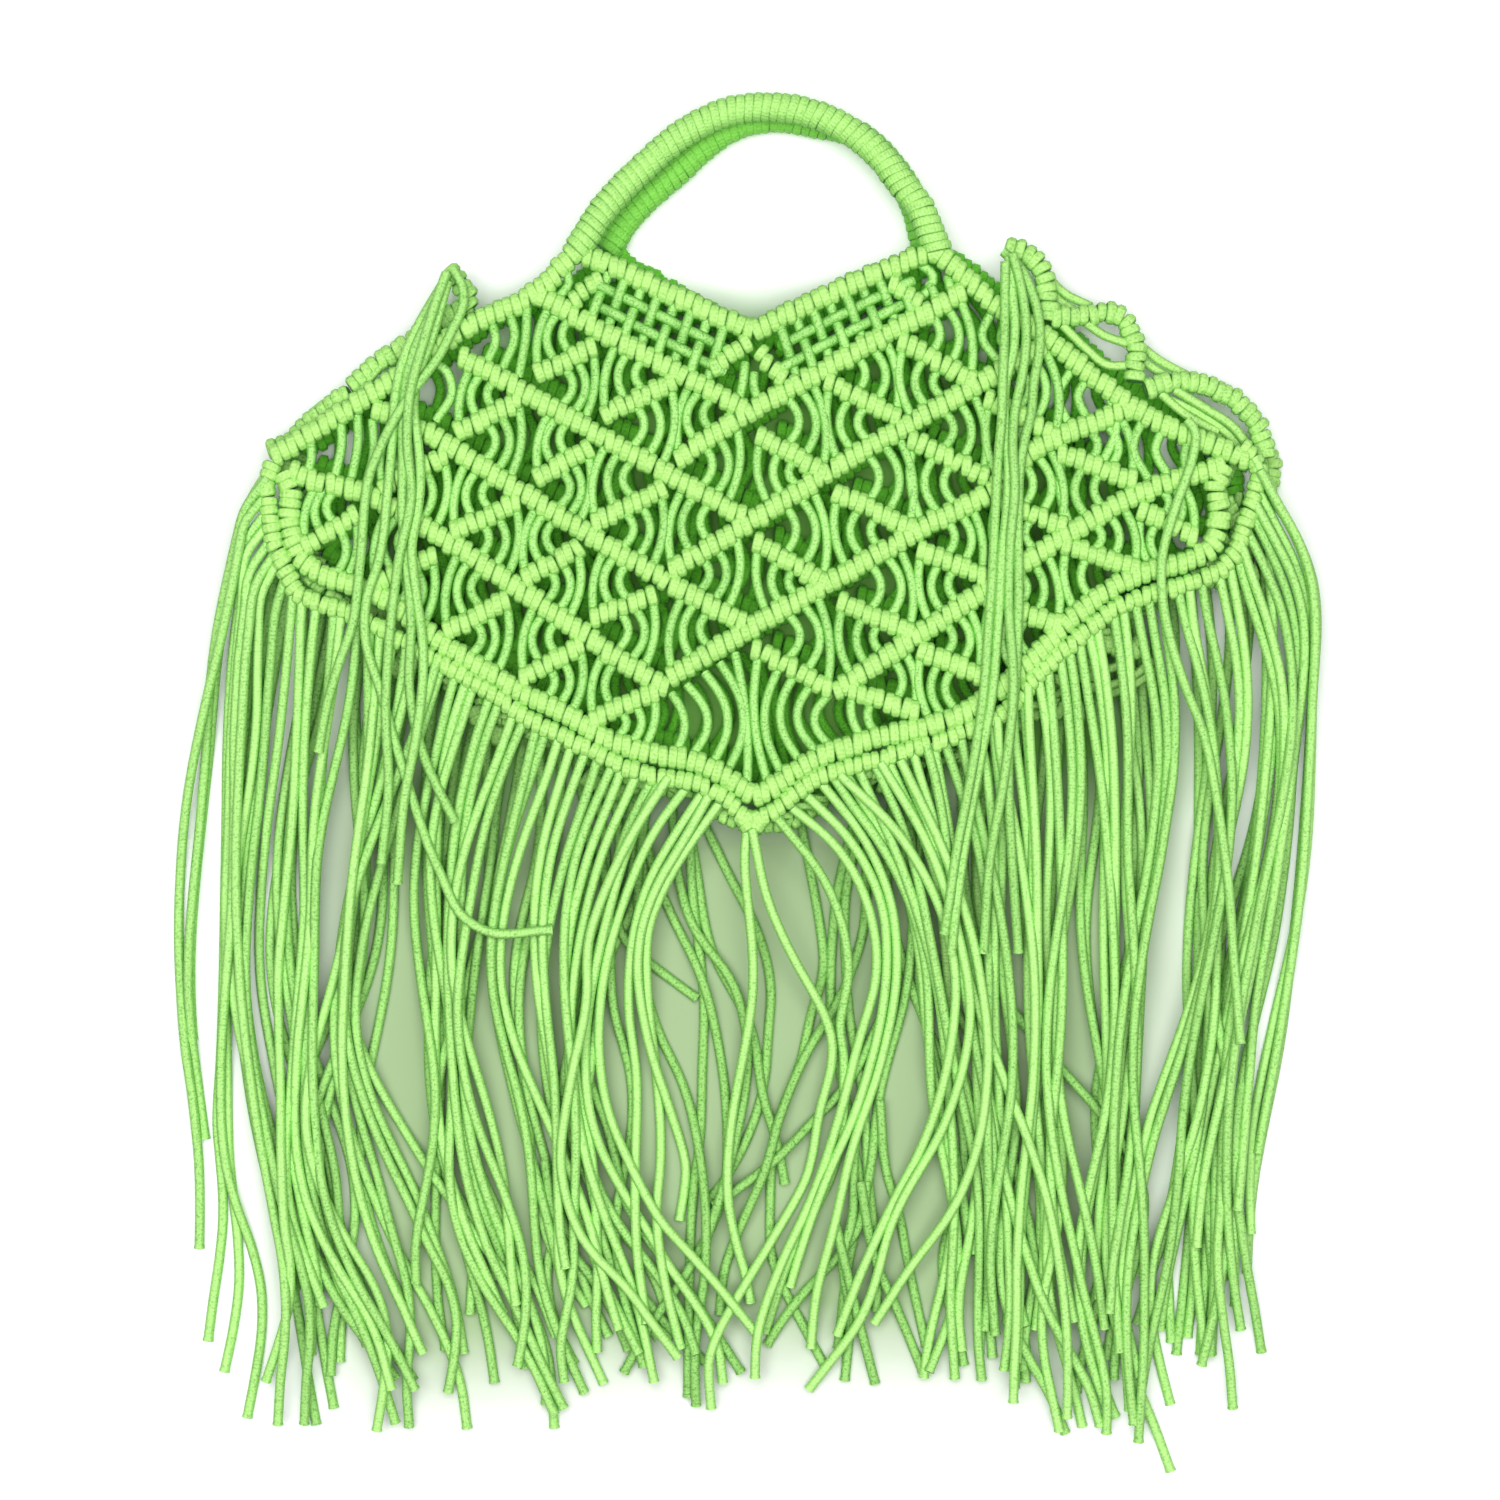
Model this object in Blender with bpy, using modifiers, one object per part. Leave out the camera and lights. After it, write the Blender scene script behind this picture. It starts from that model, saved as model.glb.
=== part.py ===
"""Knotted cord handbag with a long fringe, lying on its back.

Metres. X runs across the bag, +Y towards the handles, +Z up from the surface that it lies on.
The nets, gusset and hems are knotted from one cord, so most sizes are counts of that cord.
"""

import math

import bmesh
import bpy
import numpy as np
from mathutils import Vector

# Cord and knots
CORD_DIAMETER = 0.004
RIB_WIDTH = 0.0082  # a row of hitches round a holding cord
RIB_HEIGHT = 0.0082
RIB_FLAT = 0.5  # share of a rib's width that is flat above and below
PIECE_GAP = 0.0003  # between pieces that touch on the real bag
WELD = 1e-6  # vertices this close are one
TUBE_DETAIL = 3  # a round tube has twice this and four sides
MITRE_LIMIT = 1.6  # how much further out a sharp corner of an offset path may go

# Net panels: the border's centre line spans these
NET_HALF_WIDTH = 0.189
NET_HEIGHT = 0.2235
BACK_SHIFT_ACROSS = 0.009  # how far the back panel has slid under the front one
BACK_SHIFT_UP = 0.004
BACK_PEAK_INSET = 0.010  # the back panel's peaks lean towards each other
BASE_DEPTH = 0.020  # clear height between the panels at the tip, where the gusset props them
MOUTH_DEPTH = 0.013  # and at the peaks, where the mouth has sunk together

# Lattice of ribs, measured along the centre line and across
FIRST_RIB_DROP = 0.0344  # from the notch to the first crossing rib
RIB_STEP_DOWN = 0.0439
COLUMN_STEP = 0.0308
RIB_SLOPE = 0.57
SHORT_RIB_RUN = 0.0254
SHORT_RIB_SLOPE = 0.5
WEB_MARGIN = 0.0015  # cord left standing round each gap, beyond the rib
GAP_RUNS = (0.12, 0.74)  # where a gap starts and ends, as shares of the column's step
LACED_GAP_STEP = 0.0135
LACED_GAP_WIDTH = 0.0075

# Handles
HANDLE_DIAMETER = 0.0125
HANDLE_RISE = 0.057
BACK_HANDLE_RISE = 0.0545
HANDLE_ROUNDNESS = 2.3
HANDLE_STEPS = 16
HANDLE_LYING = 0.45  # share of its half span over which the front handle lies on the back one
HANDLE_CLIMB = 0.5  # and the share over which it climbs to its peak
COLLAR_LENGTH = 0.006
COLLAR_ROOT = 0.4  # how deep the collar starts in the peak, as a share of a rib's width

# Gusset
GUSSET_WALL = 0.004
TOOTH_PITCH = 0.049
TOOTH_STEPS = 4  # facets along the strip for each tooth
GUSSET_FOLD = (
    # share of the bulge, of the height, of the way from the back's edge to the front's
    (0.0, 0.0, 0.0),
    (0.0, 0.15, 0.0),
    (1.0, 0.30, 0.3),
    (1.0, 0.70, 0.7),
    (0.0, 0.85, 1.0),
    (0.0, 1.0, 1.0),
)
GUSSET_GAPS = ((1, 3), (3, 2))  # step in each tooth and facet of the fold that are open

# Fringe and tassels
LOCK_WIDTH = 0.010
LOCK_THICKNESS = 0.004
LOCK_PITCH = 0.0235  # along the hem
LOCK_STEPS = 4
LOCK_ROOT = 0.42  # how far out in the head a lock starts, as a share of its thickness
LOCK_STAND = 0.030  # how far a lock keeps going straight out of the hem
LOCK_LIFT = 0.0003  # every second lock lies this much higher
LOCK_RHYTHM = 1.7  # how the locks' lengths differ from one to the next
LOCK_UNEVENNESS = 0.07  # by this share of the drop either way
LOCK_HANG = 0.4  # share of the drop over which a lock hangs straight above its end
LOCK_STEP_GROWTH = 1.3  # the steps along a lock are shorter near its root
FRINGE_FOLLOW = 0.5  # how much of a panel's shift its fringe's ends follow
PARTING_BOW = 0.030
FRINGE_DROP = 0.268  # from the tip of the border to the longest strand's end
FRINGE_HALF_SPREAD = 0.224
PARTING = 0.022  # half the gap in the middle of the front fringe
FALL_RUN = 0.055  # how far from the hem a lock has come down to the surface
TASSEL_WIDTH = 0.009
TASSEL_THICKNESS = 0.005
TASSEL_STEPS = 2
TASSEL_STRETCH = 1.5
EAR_KNOT = 0.010
KNOT_SIDES = 10

# Border of a net panel, right half from the tip at the bottom to the peak under the handle
BORDER = (
    # share of the half width, share of the height
    (0.000, 0.000),
    (0.065, 0.046),
    (0.180, 0.083),
    (0.270, 0.106),
    (0.390, 0.152),
    (0.515, 0.198),
    (0.630, 0.260),
    (0.700, 0.320),
    (0.800, 0.376),
    (0.910, 0.413),
    (0.974, 0.460),
    (1.000, 0.540),
    (0.990, 0.610),
    (0.890, 0.700),
    (0.760, 0.772),
    (0.620, 0.855),
    (0.530, 0.900),
    (0.460, 0.935),
    (0.390, 1.000),
)
NOTCH_HEIGHT_SHARE = 0.853
HEM_END_ROW = 12  # the hem and the fringe run from the tip to this row of BORDER
EAR_ROW = 15  # the gusset ends in an ear at this row
PEAK_ROW = 18

# How far the gusset bulges out past the border, from the left ear round to the right one
BULGES = (
    # place along the strip, share of the ear's bulge
    (-1.00, 1.00),
    (-0.90, 0.62),
    (-0.78, 0.42),
    (-0.55, 0.40),
    (0.00, 0.42),
    (0.55, 0.40),
    (0.72, 0.50),
    (0.84, 0.80),
    (0.93, 0.72),
    (1.00, 1.00),
)
EAR_BULGE = 0.026

# Tassel strands: from the ear down over the front, as shares of the net's half width and height
TASSEL_LEFT = (
    # across, up
    (
        (-0.655, 0.955), (-0.72, 0.85), (-0.76, 0.72), (-0.77, 0.57),
        (-0.80, 0.40), (-0.86, 0.20), (-0.93, 0.09),
    ),
    (
        (-0.645, 0.950), (-0.70, 0.84), (-0.74, 0.70), (-0.76, 0.55),
        (-0.78, 0.35), (-0.79, 0.18), (-0.65, -0.05),
    ),
    (
        (-0.635, 0.945), (-0.68, 0.83), (-0.72, 0.69), (-0.75, 0.53),
        (-0.77, 0.30), (-0.73, -0.02), (-0.60, -0.23),
    ),
)
TASSEL_RIGHT = (
    # across, up
    ((0.655, 0.955), (0.57, 0.85), (0.55, 0.72), (0.54, 0.57), (0.53, 0.37), (0.55, 0.20), (0.47, -0.02)),
    ((0.645, 0.950), (0.56, 0.84), (0.54, 0.70), (0.53, 0.55), (0.52, 0.33), (0.50, 0.10), (0.43, -0.28)),
)

CORD_GREEN = (0.27, 0.80, 0.12, 1.0)


def remove_everything():
    for item in list(bpy.data.objects):
        bpy.data.objects.remove(item)


def new_collection(name):
    collection = bpy.data.collections.new(name)
    bpy.context.scene.collection.children.link(collection)
    return collection


def cord_material(name):
    material = bpy.data.materials.new(name + "_cord")
    material.use_nodes = True
    shader = material.node_tree.nodes["Principled BSDF"]
    shader.inputs["Base Color"].default_value = CORD_GREEN
    shader.inputs["Roughness"].default_value = 0.8
    shader.inputs["Metallic"].default_value = 0.0
    return material


def keep_mesh(name, mesh, collection):
    piece = bpy.data.objects.new(name, mesh)
    mesh.materials.clear()
    mesh.materials.append(cord_material(name))
    collection.objects.link(piece)
    return piece


def mesh_of(item):
    """The mesh that an object evaluates to, with its loose caps welded, and the object removed."""
    evaluated = item.evaluated_get(bpy.context.evaluated_depsgraph_get())
    mesh = bpy.data.meshes.new_from_object(evaluated)
    build = bmesh.new()
    build.from_mesh(mesh)
    bmesh.ops.remove_doubles(build, verts=build.verts, dist=WELD)
    bmesh.ops.recalc_face_normals(build, faces=build.faces)
    build.to_mesh(mesh)
    build.free()
    bpy.data.objects.remove(item)
    return mesh


def poly_spline(curve, points, cyclic):
    spline = curve.splines.new("POLY")
    spline.points.add(len(points) - 1)
    for spot, point in zip(spline.points, points):
        spot.co = (point[0], point[1], point[2] if len(point) > 2 else 0.0, 1.0)
    spline.use_cyclic_u = cyclic


def section_curve(width, height, shoulder, work):
    """A closed section, flat below and above; shoulder is the flat's share of the width."""
    curve = bpy.data.curves.new("section", "CURVE")
    curve.dimensions = "2D"
    half, flat, rise = width / 2, shoulder * width / 2, height / 2
    if shoulder < 1.0:
        corners = [(half, 0), (flat, rise), (-flat, rise), (-half, 0), (-flat, -rise), (flat, -rise)]
    else:
        corners = [(half, -rise), (half, rise), (-half, rise), (-half, -rise)]
    poly_spline(curve, corners, cyclic=True)
    section = bpy.data.objects.new("section", curve)
    section.hide_render = True
    work.objects.link(section)
    return section


def swept(points, section, work, cyclic=False):
    """A section swept along points, with its flat side kept level, as a mesh."""
    curve = bpy.data.curves.new("sweep", "CURVE")
    curve.dimensions = "3D"
    curve.twist_mode = "Z_UP"
    curve.bevel_mode = "OBJECT"
    curve.bevel_object = section
    curve.use_fill_caps = not cyclic
    poly_spline(curve, points, cyclic)
    item = bpy.data.objects.new("sweep", curve)
    work.objects.link(item)
    return mesh_of(item)


def round_tube(points, radius, work):
    """A round tube along points, as a mesh."""
    curve = bpy.data.curves.new("tube", "CURVE")
    curve.dimensions = "3D"
    curve.bevel_depth = radius
    curve.bevel_resolution = TUBE_DETAIL
    curve.use_fill_caps = True
    poly_spline(curve, points, cyclic=False)
    item = bpy.data.objects.new("tube", curve)
    work.objects.link(item)
    return mesh_of(item)


def fused(base, others):
    """One mesh from a base mesh and the meshes that overlap it."""
    scene = bpy.context.scene.collection
    core = bpy.data.objects.new("core", base)
    scene.objects.link(core)
    bucket = bpy.data.collections.new("bucket")
    added = [bpy.data.objects.new("added", mesh) for mesh in others]
    for item in added:
        bucket.objects.link(item)
    scene.children.link(bucket)
    join = core.modifiers.new("join", "BOOLEAN")
    join.operation = "UNION"
    join.operand_type = "COLLECTION"
    join.collection = bucket
    join.solver = "EXACT"
    bpy.context.view_layer.update()
    mesh = mesh_of(core)
    for item in added:
        bpy.data.objects.remove(item)
    bpy.data.collections.remove(bucket)
    return mesh


class Panel:
    """Where one net panel lies: its border, its height over the surface, and its peaks."""

    def __init__(self, is_front):
        self.is_front = is_front
        self.shift = (0.0, 0.0) if is_front else (BACK_SHIFT_ACROSS, BACK_SHIFT_UP)
        self.peak_inset = 0.0 if is_front else BACK_PEAK_INSET
        self.handle_rise = HANDLE_RISE if is_front else BACK_HANDLE_RISE

    def place(self, across, up):
        return across + self.shift[0], up + self.shift[1]

    def half_border(self, side):
        rows = [(u * NET_HALF_WIDTH, v * NET_HEIGHT) for u, v in BORDER]
        peak_across, peak_up = rows[PEAK_ROW]
        rows[PEAK_ROW] = (peak_across - self.peak_inset, peak_up)
        return [self.place(side * x, y) for x, y in rows]

    def notch(self):
        return self.place(0.0, NOTCH_HEIGHT_SHARE * NET_HEIGHT)

    def border(self):
        """The closed border, anticlockwise from the tip."""
        return self.half_border(1) + [self.notch()] + self.half_border(-1)[:0:-1]

    def lower_border(self, last_row):
        """The open stretch of border from the left side, round the tip, to the right side."""
        left = self.half_border(-1)[1 : last_row + 1][::-1]
        return left + self.half_border(1)[: last_row + 1]

    def middle(self, y):
        """Height of the middle of the panel's thickness, so far over its tip."""
        if not self.is_front:
            return RIB_HEIGHT / 2
        return RIB_HEIGHT * 1.5 + BASE_DEPTH + (MOUTH_DEPTH - BASE_DEPTH) * y / NET_HEIGHT


FRONT = Panel(is_front=True)
BACK = Panel(is_front=False)


def offset_path(points, distance, cyclic=False):
    """Points moved sideways, to the right of the way that they run, with mitred corners."""
    moved = []
    count = len(points)
    for i, point in enumerate(points):
        before = points[i - 1] if (cyclic or i) else None
        after = points[(i + 1) % count] if (cyclic or i < count - 1) else None
        normals = []
        for start, end in ((before, point), (point, after)):
            if start is not None and end is not None:
                run = Vector((end[0] - start[0], end[1] - start[1])).normalized()
                normals.append(Vector((run.y, -run.x)))
        mean = sum(normals, Vector((0, 0))).normalized()
        stretch = 1 / max(1 / MITRE_LIMIT, mean.dot(normals[0]))
        moved.append((point[0] + mean.x * distance * stretch, point[1] + mean.y * distance * stretch))
    return moved


def distance_to_path(point, path):
    """Distance in plan from a point to a polyline."""
    starts = np.array([p[:2] for p in path[:-1]])
    ends = np.array([p[:2] for p in path[1:]])
    runs = ends - starts
    share = np.einsum("ij,ij->i", np.array(point[:2]) - starts, runs) / np.einsum("ij,ij->i", runs, runs)
    nearest = starts + np.clip(share, 0, 1)[:, None] * runs
    return float(np.min(np.linalg.norm(nearest - np.array(point[:2]), axis=1)))


def is_inside(point, border):
    """True where a point lies inside a closed border, in plan."""
    crossings = 0
    for (ax, ay), (bx, by) in zip(border, border[1:] + border[:1]):
        if (ay > point[1]) != (by > point[1]):
            crossings += point[0] < ax + (point[1] - ay) * (bx - ax) / (by - ay)
    return crossings % 2 == 1


def evenly(points, count):
    """Count points spaced evenly along a polyline."""
    path = np.array([p[:2] for p in points])
    lengths = np.concatenate([[0], np.cumsum(np.linalg.norm(np.diff(path, axis=0), axis=1))])
    places = np.linspace(0, lengths[-1], count)
    return [tuple(float(np.interp(s, lengths, path[:, axis])) for axis in (0, 1)) for s in places]


def path_length(points):
    return sum(math.dist(a[:2], b[:2]) for a, b in zip(points, points[1:]))


def smooth_path(points, steps):
    """A smooth curve through a few points, with steps points on each stretch."""
    spots = [Vector(p) for p in points]
    ends = [2 * spots[0] - spots[1]] + spots + [2 * spots[-1] - spots[-2]]
    path = []
    for a, b, c, d in zip(ends, ends[1:], ends[2:], ends[3:]):
        for i in range(steps):
            t = i / steps
            bend = (2 * a - 5 * b + 4 * c - d) * t**2 + (3 * b - a - 3 * c + d) * t**3
            path.append(0.5 * (2 * b + (c - a) * t + bend))
    return path + [spots[-1]]


def rib_height_at(level, across):
    """Height on the flat panel, over its tip, of a long rib: level 0 is the V of the notch."""
    centre = NOTCH_HEIGHT_SHARE * NET_HEIGHT
    if level:
        centre -= FIRST_RIB_DROP + (level - 1) * RIB_STEP_DOWN
    return centre + RIB_SLOPE * across


def rib_levels():
    lowest = RIB_WIDTH
    count = 1
    while rib_height_at(count, 0.0) > lowest:
        count += 1
    return range(1, count)


def long_ribs(panel):
    """Both halves of every long rib, from the centre line out to the border, as pairs of ends."""
    border = panel.border()
    ribs = []
    for level in rib_levels():
        for side in (-1, 1):
            across = 0.0
            while is_inside(panel.place(side * across, rib_height_at(level, across)), border):
                across += CORD_DIAMETER / 4
            start = panel.place(0.0, rib_height_at(level, 0.0))
            ribs.append((start, panel.place(side * across, rib_height_at(level, across))))
    return ribs


def lower_edge(level, across):
    """Height of what a short rib stands on: a long rib, or the border where that lies higher."""
    shares = [(u * NET_HALF_WIDTH, v * NET_HEIGHT) for u, v in BORDER[:HEM_END_ROW]]
    return max(rib_height_at(level, across), float(np.interp(across, *zip(*shares))))


def columns(panel):
    """Every short rib: its side, how far across it starts, and the heights under and over it there."""
    border = panel.border()
    for level in range(2, len(rib_levels()) + 2):
        for side in (-1, 1):
            for step in range(1, math.ceil(NET_HALF_WIDTH / COLUMN_STEP)):
                across = step * COLUMN_STEP
                foot, head = lower_edge(level, across), rib_height_at(level - 1, across)
                fits = head - foot > SHORT_RIB_SLOPE * SHORT_RIB_RUN + RIB_WIDTH
                if fits and is_inside(panel.place(side * across, head), border):
                    yield side, across, foot, head


def short_ribs(panel):
    ribs = []
    for side, across, foot, _ in columns(panel):
        knob = (across - SHORT_RIB_RUN, foot + SHORT_RIB_SLOPE * SHORT_RIB_RUN)
        ribs.append((panel.place(side * across, foot), panel.place(side * knob[0], knob[1])))
    return ribs


def upright_gap(panel, side, edges):
    """A four-cornered gap between two upright edges, each how far across, its foot and its head."""
    (near, near_foot, near_head), (far, far_foot, far_head) = edges
    corners = ((near, near_foot), (near, near_head), (far, far_head), (far, far_foot))
    return [panel.place(side * x, y) for x, y in corners]


def net_gaps(panel):
    """The gaps cut through the net: one wedge over each short rib, and small ones in the laced band."""
    border = panel.border()
    closed = border + border[:1]
    keep = (RIB_WIDTH / 2 + WEB_MARGIN) * math.hypot(1, RIB_SLOPE)
    gaps = []
    for side, across, foot, head in columns(panel):
        edges = []
        for run in GAP_RUNS:
            low = foot + SHORT_RIB_SLOPE * run * COLUMN_STEP + keep
            high = head - RIB_SLOPE * run * COLUMN_STEP - keep
            edges.append((across - run * COLUMN_STEP, low, max(high, low + CORD_DIAMETER / 2)))
        gaps.append(upright_gap(panel, side, edges))
    notch_up = NOTCH_HEIGHT_SHARE * NET_HEIGHT
    laced_width = BORDER[PEAK_ROW][0] * NET_HALF_WIDTH - panel.peak_inset
    for side in (-1, 1):
        for step in range(1, int(laced_width / LACED_GAP_STEP)):
            edges = []
            for x in (step * LACED_GAP_STEP, step * LACED_GAP_STEP + LACED_GAP_WIDTH):
                mouth_edge = notch_up + (NET_HEIGHT - notch_up) * x / laced_width
                edges.append((x, rib_height_at(1, x) + keep, mouth_edge - keep))
            gaps.append(upright_gap(panel, side, edges))
    margin = RIB_WIDTH / 2 + WEB_MARGIN / 2
    return [
        gap
        for gap in gaps
        if all(is_inside(p, border) and distance_to_path(p, closed) > margin for p in gap)
    ]


def handle_ends(panel, side):
    """The peak that a handle's leg stands on, and the way that the leg leaves it."""
    peak = Vector(panel.half_border(side)[PEAK_ROW])
    half_span = abs(panel.half_border(1)[PEAK_ROW][0] - panel.half_border(-1)[PEAK_ROW][0]) / 2
    return peak, Vector((-side * half_span, HANDLE_ROUNDNESS * panel.handle_rise)).normalized()


def handle_height(panel):
    """Height of a handle's axis where it leaves its panel."""
    return panel.middle(NET_HEIGHT) if panel.is_front else HANDLE_DIAMETER / 2


def collar(panel, side, work):
    """The wraps at a peak that the handle's leg comes out of, which are part of the net."""
    peak, way = handle_ends(panel, side)
    height = handle_height(panel) - panel.middle(peak.y)
    below = peak - way * RIB_WIDTH * COLLAR_ROOT
    above = peak + way * COLLAR_LENGTH
    return round_tube([(*below, height), (*above, height)], HANDLE_DIAMETER / 2, work)


def lifted(mesh, panel):
    """The flat net's mesh, tilted up to where the panel lies."""
    build = bmesh.new()
    build.from_mesh(mesh)
    for vertex in build.verts:
        vertex.co.z += panel.middle(vertex.co.y)
    build.to_mesh(mesh)
    build.free()
    return mesh


def net(panel, work):
    """A panel: a web one cord thick with gaps cut through, ribs across it and a border round it."""
    web = bpy.data.curves.new("web", "CURVE")
    web.dimensions = "2D"
    web.fill_mode = "BOTH"
    web.extrude = CORD_DIAMETER / 2
    poly_spline(web, panel.border(), cyclic=True)
    for gap in net_gaps(panel):
        poly_spline(web, gap, cyclic=True)
    sheet = bpy.data.objects.new("web", web)
    work.objects.link(sheet)
    section = section_curve(RIB_WIDTH, RIB_HEIGHT, RIB_FLAT, work)
    border = swept(panel.border(), section, work, cyclic=True)
    lines = long_ribs(panel) + short_ribs(panel)
    ribs = [swept([start, end], section, work) for start, end in lines]
    collars = [collar(panel, side, work) for side in (-1, 1)]
    return lifted(fused(border, [mesh_of(sheet)] + ribs + collars), panel)


def along_hem(panel, offset):
    """The hem's line, moved outwards from the border's centre line, with heights."""
    path = offset_path(panel.lower_border(HEM_END_ROW), offset)
    return [(x, y, panel.middle(y)) for x, y in path]


def hem(panel, work):
    """The second, outer row of hitches that the fringe hangs from."""
    section = section_curve(RIB_WIDTH, RIB_HEIGHT, RIB_FLAT, work)
    return swept(along_hem(panel, RIB_WIDTH + PIECE_GAP), section, work)


def handle(panel, work):
    """An arch of wrapped cord from peak to peak. The front one comes to rest on the back one."""
    feet = {side: handle_ends(panel, side) for side in (-1, 1)}
    starts = {side: peak + way * (COLLAR_LENGTH + PIECE_GAP) for side, (peak, way) in feet.items()}
    middle = (starts[-1] + starts[1]) / 2
    half_span = (starts[1].x - starts[-1].x) / 2
    high = handle_height(panel)
    low = 1.5 * HANDLE_DIAMETER + PIECE_GAP if panel.is_front else high
    points = [(*starts[-1], high), (*(starts[-1] + feet[-1][1] * COLLAR_LENGTH / 3), high)]
    for i in range(1, HANDLE_STEPS):
        u = -math.cos(math.pi * i / HANDLE_STEPS)
        rise = panel.handle_rise * (1 - abs(u) ** HANDLE_ROUNDNESS)
        rest = 1 - smooth_share((abs(u) - HANDLE_LYING) / HANDLE_CLIMB)
        points.append((middle.x + u * half_span, middle.y + rise, high + (low - high) * rest))
    points += [(*(starts[1] + feet[1][1] * COLLAR_LENGTH / 3), high), (*starts[1], high)]
    return round_tube(points, HANDLE_DIAMETER / 2, work)


def smooth_share(share):
    share = min(1.0, max(0.0, share))
    return share * share * (3 - 2 * share)


def gusset_section(y):
    """Heights of the gusset's foot and head, so far over the front panel's tip."""
    return RIB_HEIGHT + PIECE_GAP, FRONT.middle(y) - RIB_HEIGHT / 2 - PIECE_GAP


def gusset():
    """The strip between the panels: a wall folded outwards, with the gaps of its zigzag cut through."""
    seam = (RIB_WIDTH + PIECE_GAP) / 2
    line = offset_path(FRONT.lower_border(EAR_ROW), seam)
    steps = TOOTH_STEPS * round(path_length(line) / TOOTH_PITCH)
    heads = evenly(line, steps + 1)
    feet = evenly(offset_path(BACK.lower_border(EAR_ROW), seam), steps + 1)
    build = bmesh.new()
    rows = []
    for i in range(steps + 1):
        place = 2 * i / steps - 1
        bulge = EAR_BULGE * float(np.interp(place, *zip(*BULGES)))
        out = outward_at(heads, i)
        low, high = gusset_section(heads[i][1])
        row = []
        for out_share, up_share, way_share in GUSSET_FOLD:
            base = Vector(feet[i]).lerp(Vector(heads[i]), way_share)
            spot = base + out * bulge * out_share
            row.append(build.verts.new((spot.x, spot.y, low + (high - low) * up_share)))
        rows.append(row)
    for i, (row, following) in enumerate(zip(rows, rows[1:])):
        for j in range(len(GUSSET_FOLD) - 1):
            if (i % TOOTH_STEPS, j) not in GUSSET_GAPS:
                build.faces.new((row[j], following[j], following[j + 1], row[j + 1]))
    bmesh.ops.recalc_face_normals(build, faces=build.faces)
    mesh = bpy.data.meshes.new("gusset")
    build.to_mesh(mesh)
    build.free()
    return mesh


def outward_at(path, i):
    """The way out of the bag, square to a path that runs anticlockwise."""
    before, after = path[max(0, i - 1)], path[min(len(path) - 1, i + 1)]
    run = Vector((after[0] - before[0], after[1] - before[1])).normalized()
    return Vector((run.y, -run.x))


def bezier(points, t):
    """A place on the curve with these four control points."""
    a, b, c, d = (Vector(p) for p in points)
    s = 1 - t
    return a * s**3 + b * (3 * s * s * t) + c * (3 * s * t * t) + d * t**3


def fall(panel, line, spot):
    """Height of a lock's middle at a place: it comes down from the hem to what it lies on."""
    layer = LOCK_THICKNESS / 2 if not panel.is_front else 1.5 * LOCK_THICKNESS + 2 * PIECE_GAP + LOCK_LIFT
    start = panel.middle(spot.y) if panel.is_front else layer
    drop = smooth_share(distance_to_path(spot, line) / FALL_RUN)
    return start + (layer - start) * drop


def lock_end(panel, place, number):
    """Where a lock ends: place is -1 at the left end of the hem and 1 at the right end."""
    tip = panel.place(0.0, 0.0)
    parting = PARTING if panel.is_front else 0.0
    across = math.copysign(parting, place) + place * (FRINGE_HALF_SPREAD - parting)
    drop = FRINGE_DROP * (1 - LOCK_UNEVENNESS * (1 - math.cos(LOCK_RHYTHM * number)))
    return Vector((tip[0] * FRINGE_FOLLOW + across, tip[1] - drop))


def fringe(panel, work):
    """A head along the hem with locks of strands, which spread over the surface."""
    offset = 1.5 * RIB_WIDTH + 2 * PIECE_GAP + LOCK_THICKNESS / 2
    line = along_hem(panel, offset)
    if not panel.is_front:
        line = [(x, y, LOCK_THICKNESS / 2) for x, y, _ in line]
    head = swept(line, section_curve(LOCK_THICKNESS, LOCK_THICKNESS, 1.0, work), work)
    count = round(path_length(line) / LOCK_PITCH)
    roots = evenly(line, count + 2)
    section = section_curve(LOCK_WIDTH, LOCK_THICKNESS, 1.0, work)
    locks = []
    for i in range(1, count + 1):
        place = 2 * (i - 0.5) / count - 1
        root, end = Vector(roots[i]), lock_end(panel, place, i)
        bow = PARTING_BOW * math.copysign(1 - abs(place), place) if panel.is_front else 0.0
        way = outward_at(roots, i)
        out = root + way * LOCK_STAND
        root = root + way * LOCK_THICKNESS * LOCK_ROOT
        above = end + Vector((bow, FRINGE_DROP * LOCK_HANG))
        lift = LOCK_LIFT * (i % 2)
        points = []
        for step in range(LOCK_STEPS + 1):
            spot = bezier((root, out, above, end), (step / LOCK_STEPS) ** LOCK_STEP_GROWTH)
            points.append((spot.x, spot.y, fall(panel, line, spot) + lift))
        locks.append(swept(points, section, work))
    return fused(head, locks)


def resting_height(x, y):
    """Height of the top of what a tassel's strand lies on, in the net, on the ears or past the hem."""
    border = FRONT.border()
    over_net = FRONT.middle(y) + RIB_HEIGHT / 2
    if is_inside((x, y), border):
        return over_net
    hem_line = along_hem(FRONT, RIB_WIDTH + PIECE_GAP)
    past_hem = distance_to_path((x, y), hem_line) - RIB_WIDTH - LOCK_THICKNESS
    past_border = distance_to_path((x, y), border + border[:1]) - RIB_WIDTH
    if past_border < past_hem:
        _, high = gusset_section(y)
        return max(high, over_net - (over_net - high) * smooth_share(past_border / EAR_BULGE))
    floor = 2 * (LOCK_THICKNESS + PIECE_GAP + LOCK_LIFT)
    return over_net + (floor - over_net) * smooth_share(past_hem / (FALL_RUN * TASSEL_STRETCH))


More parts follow.
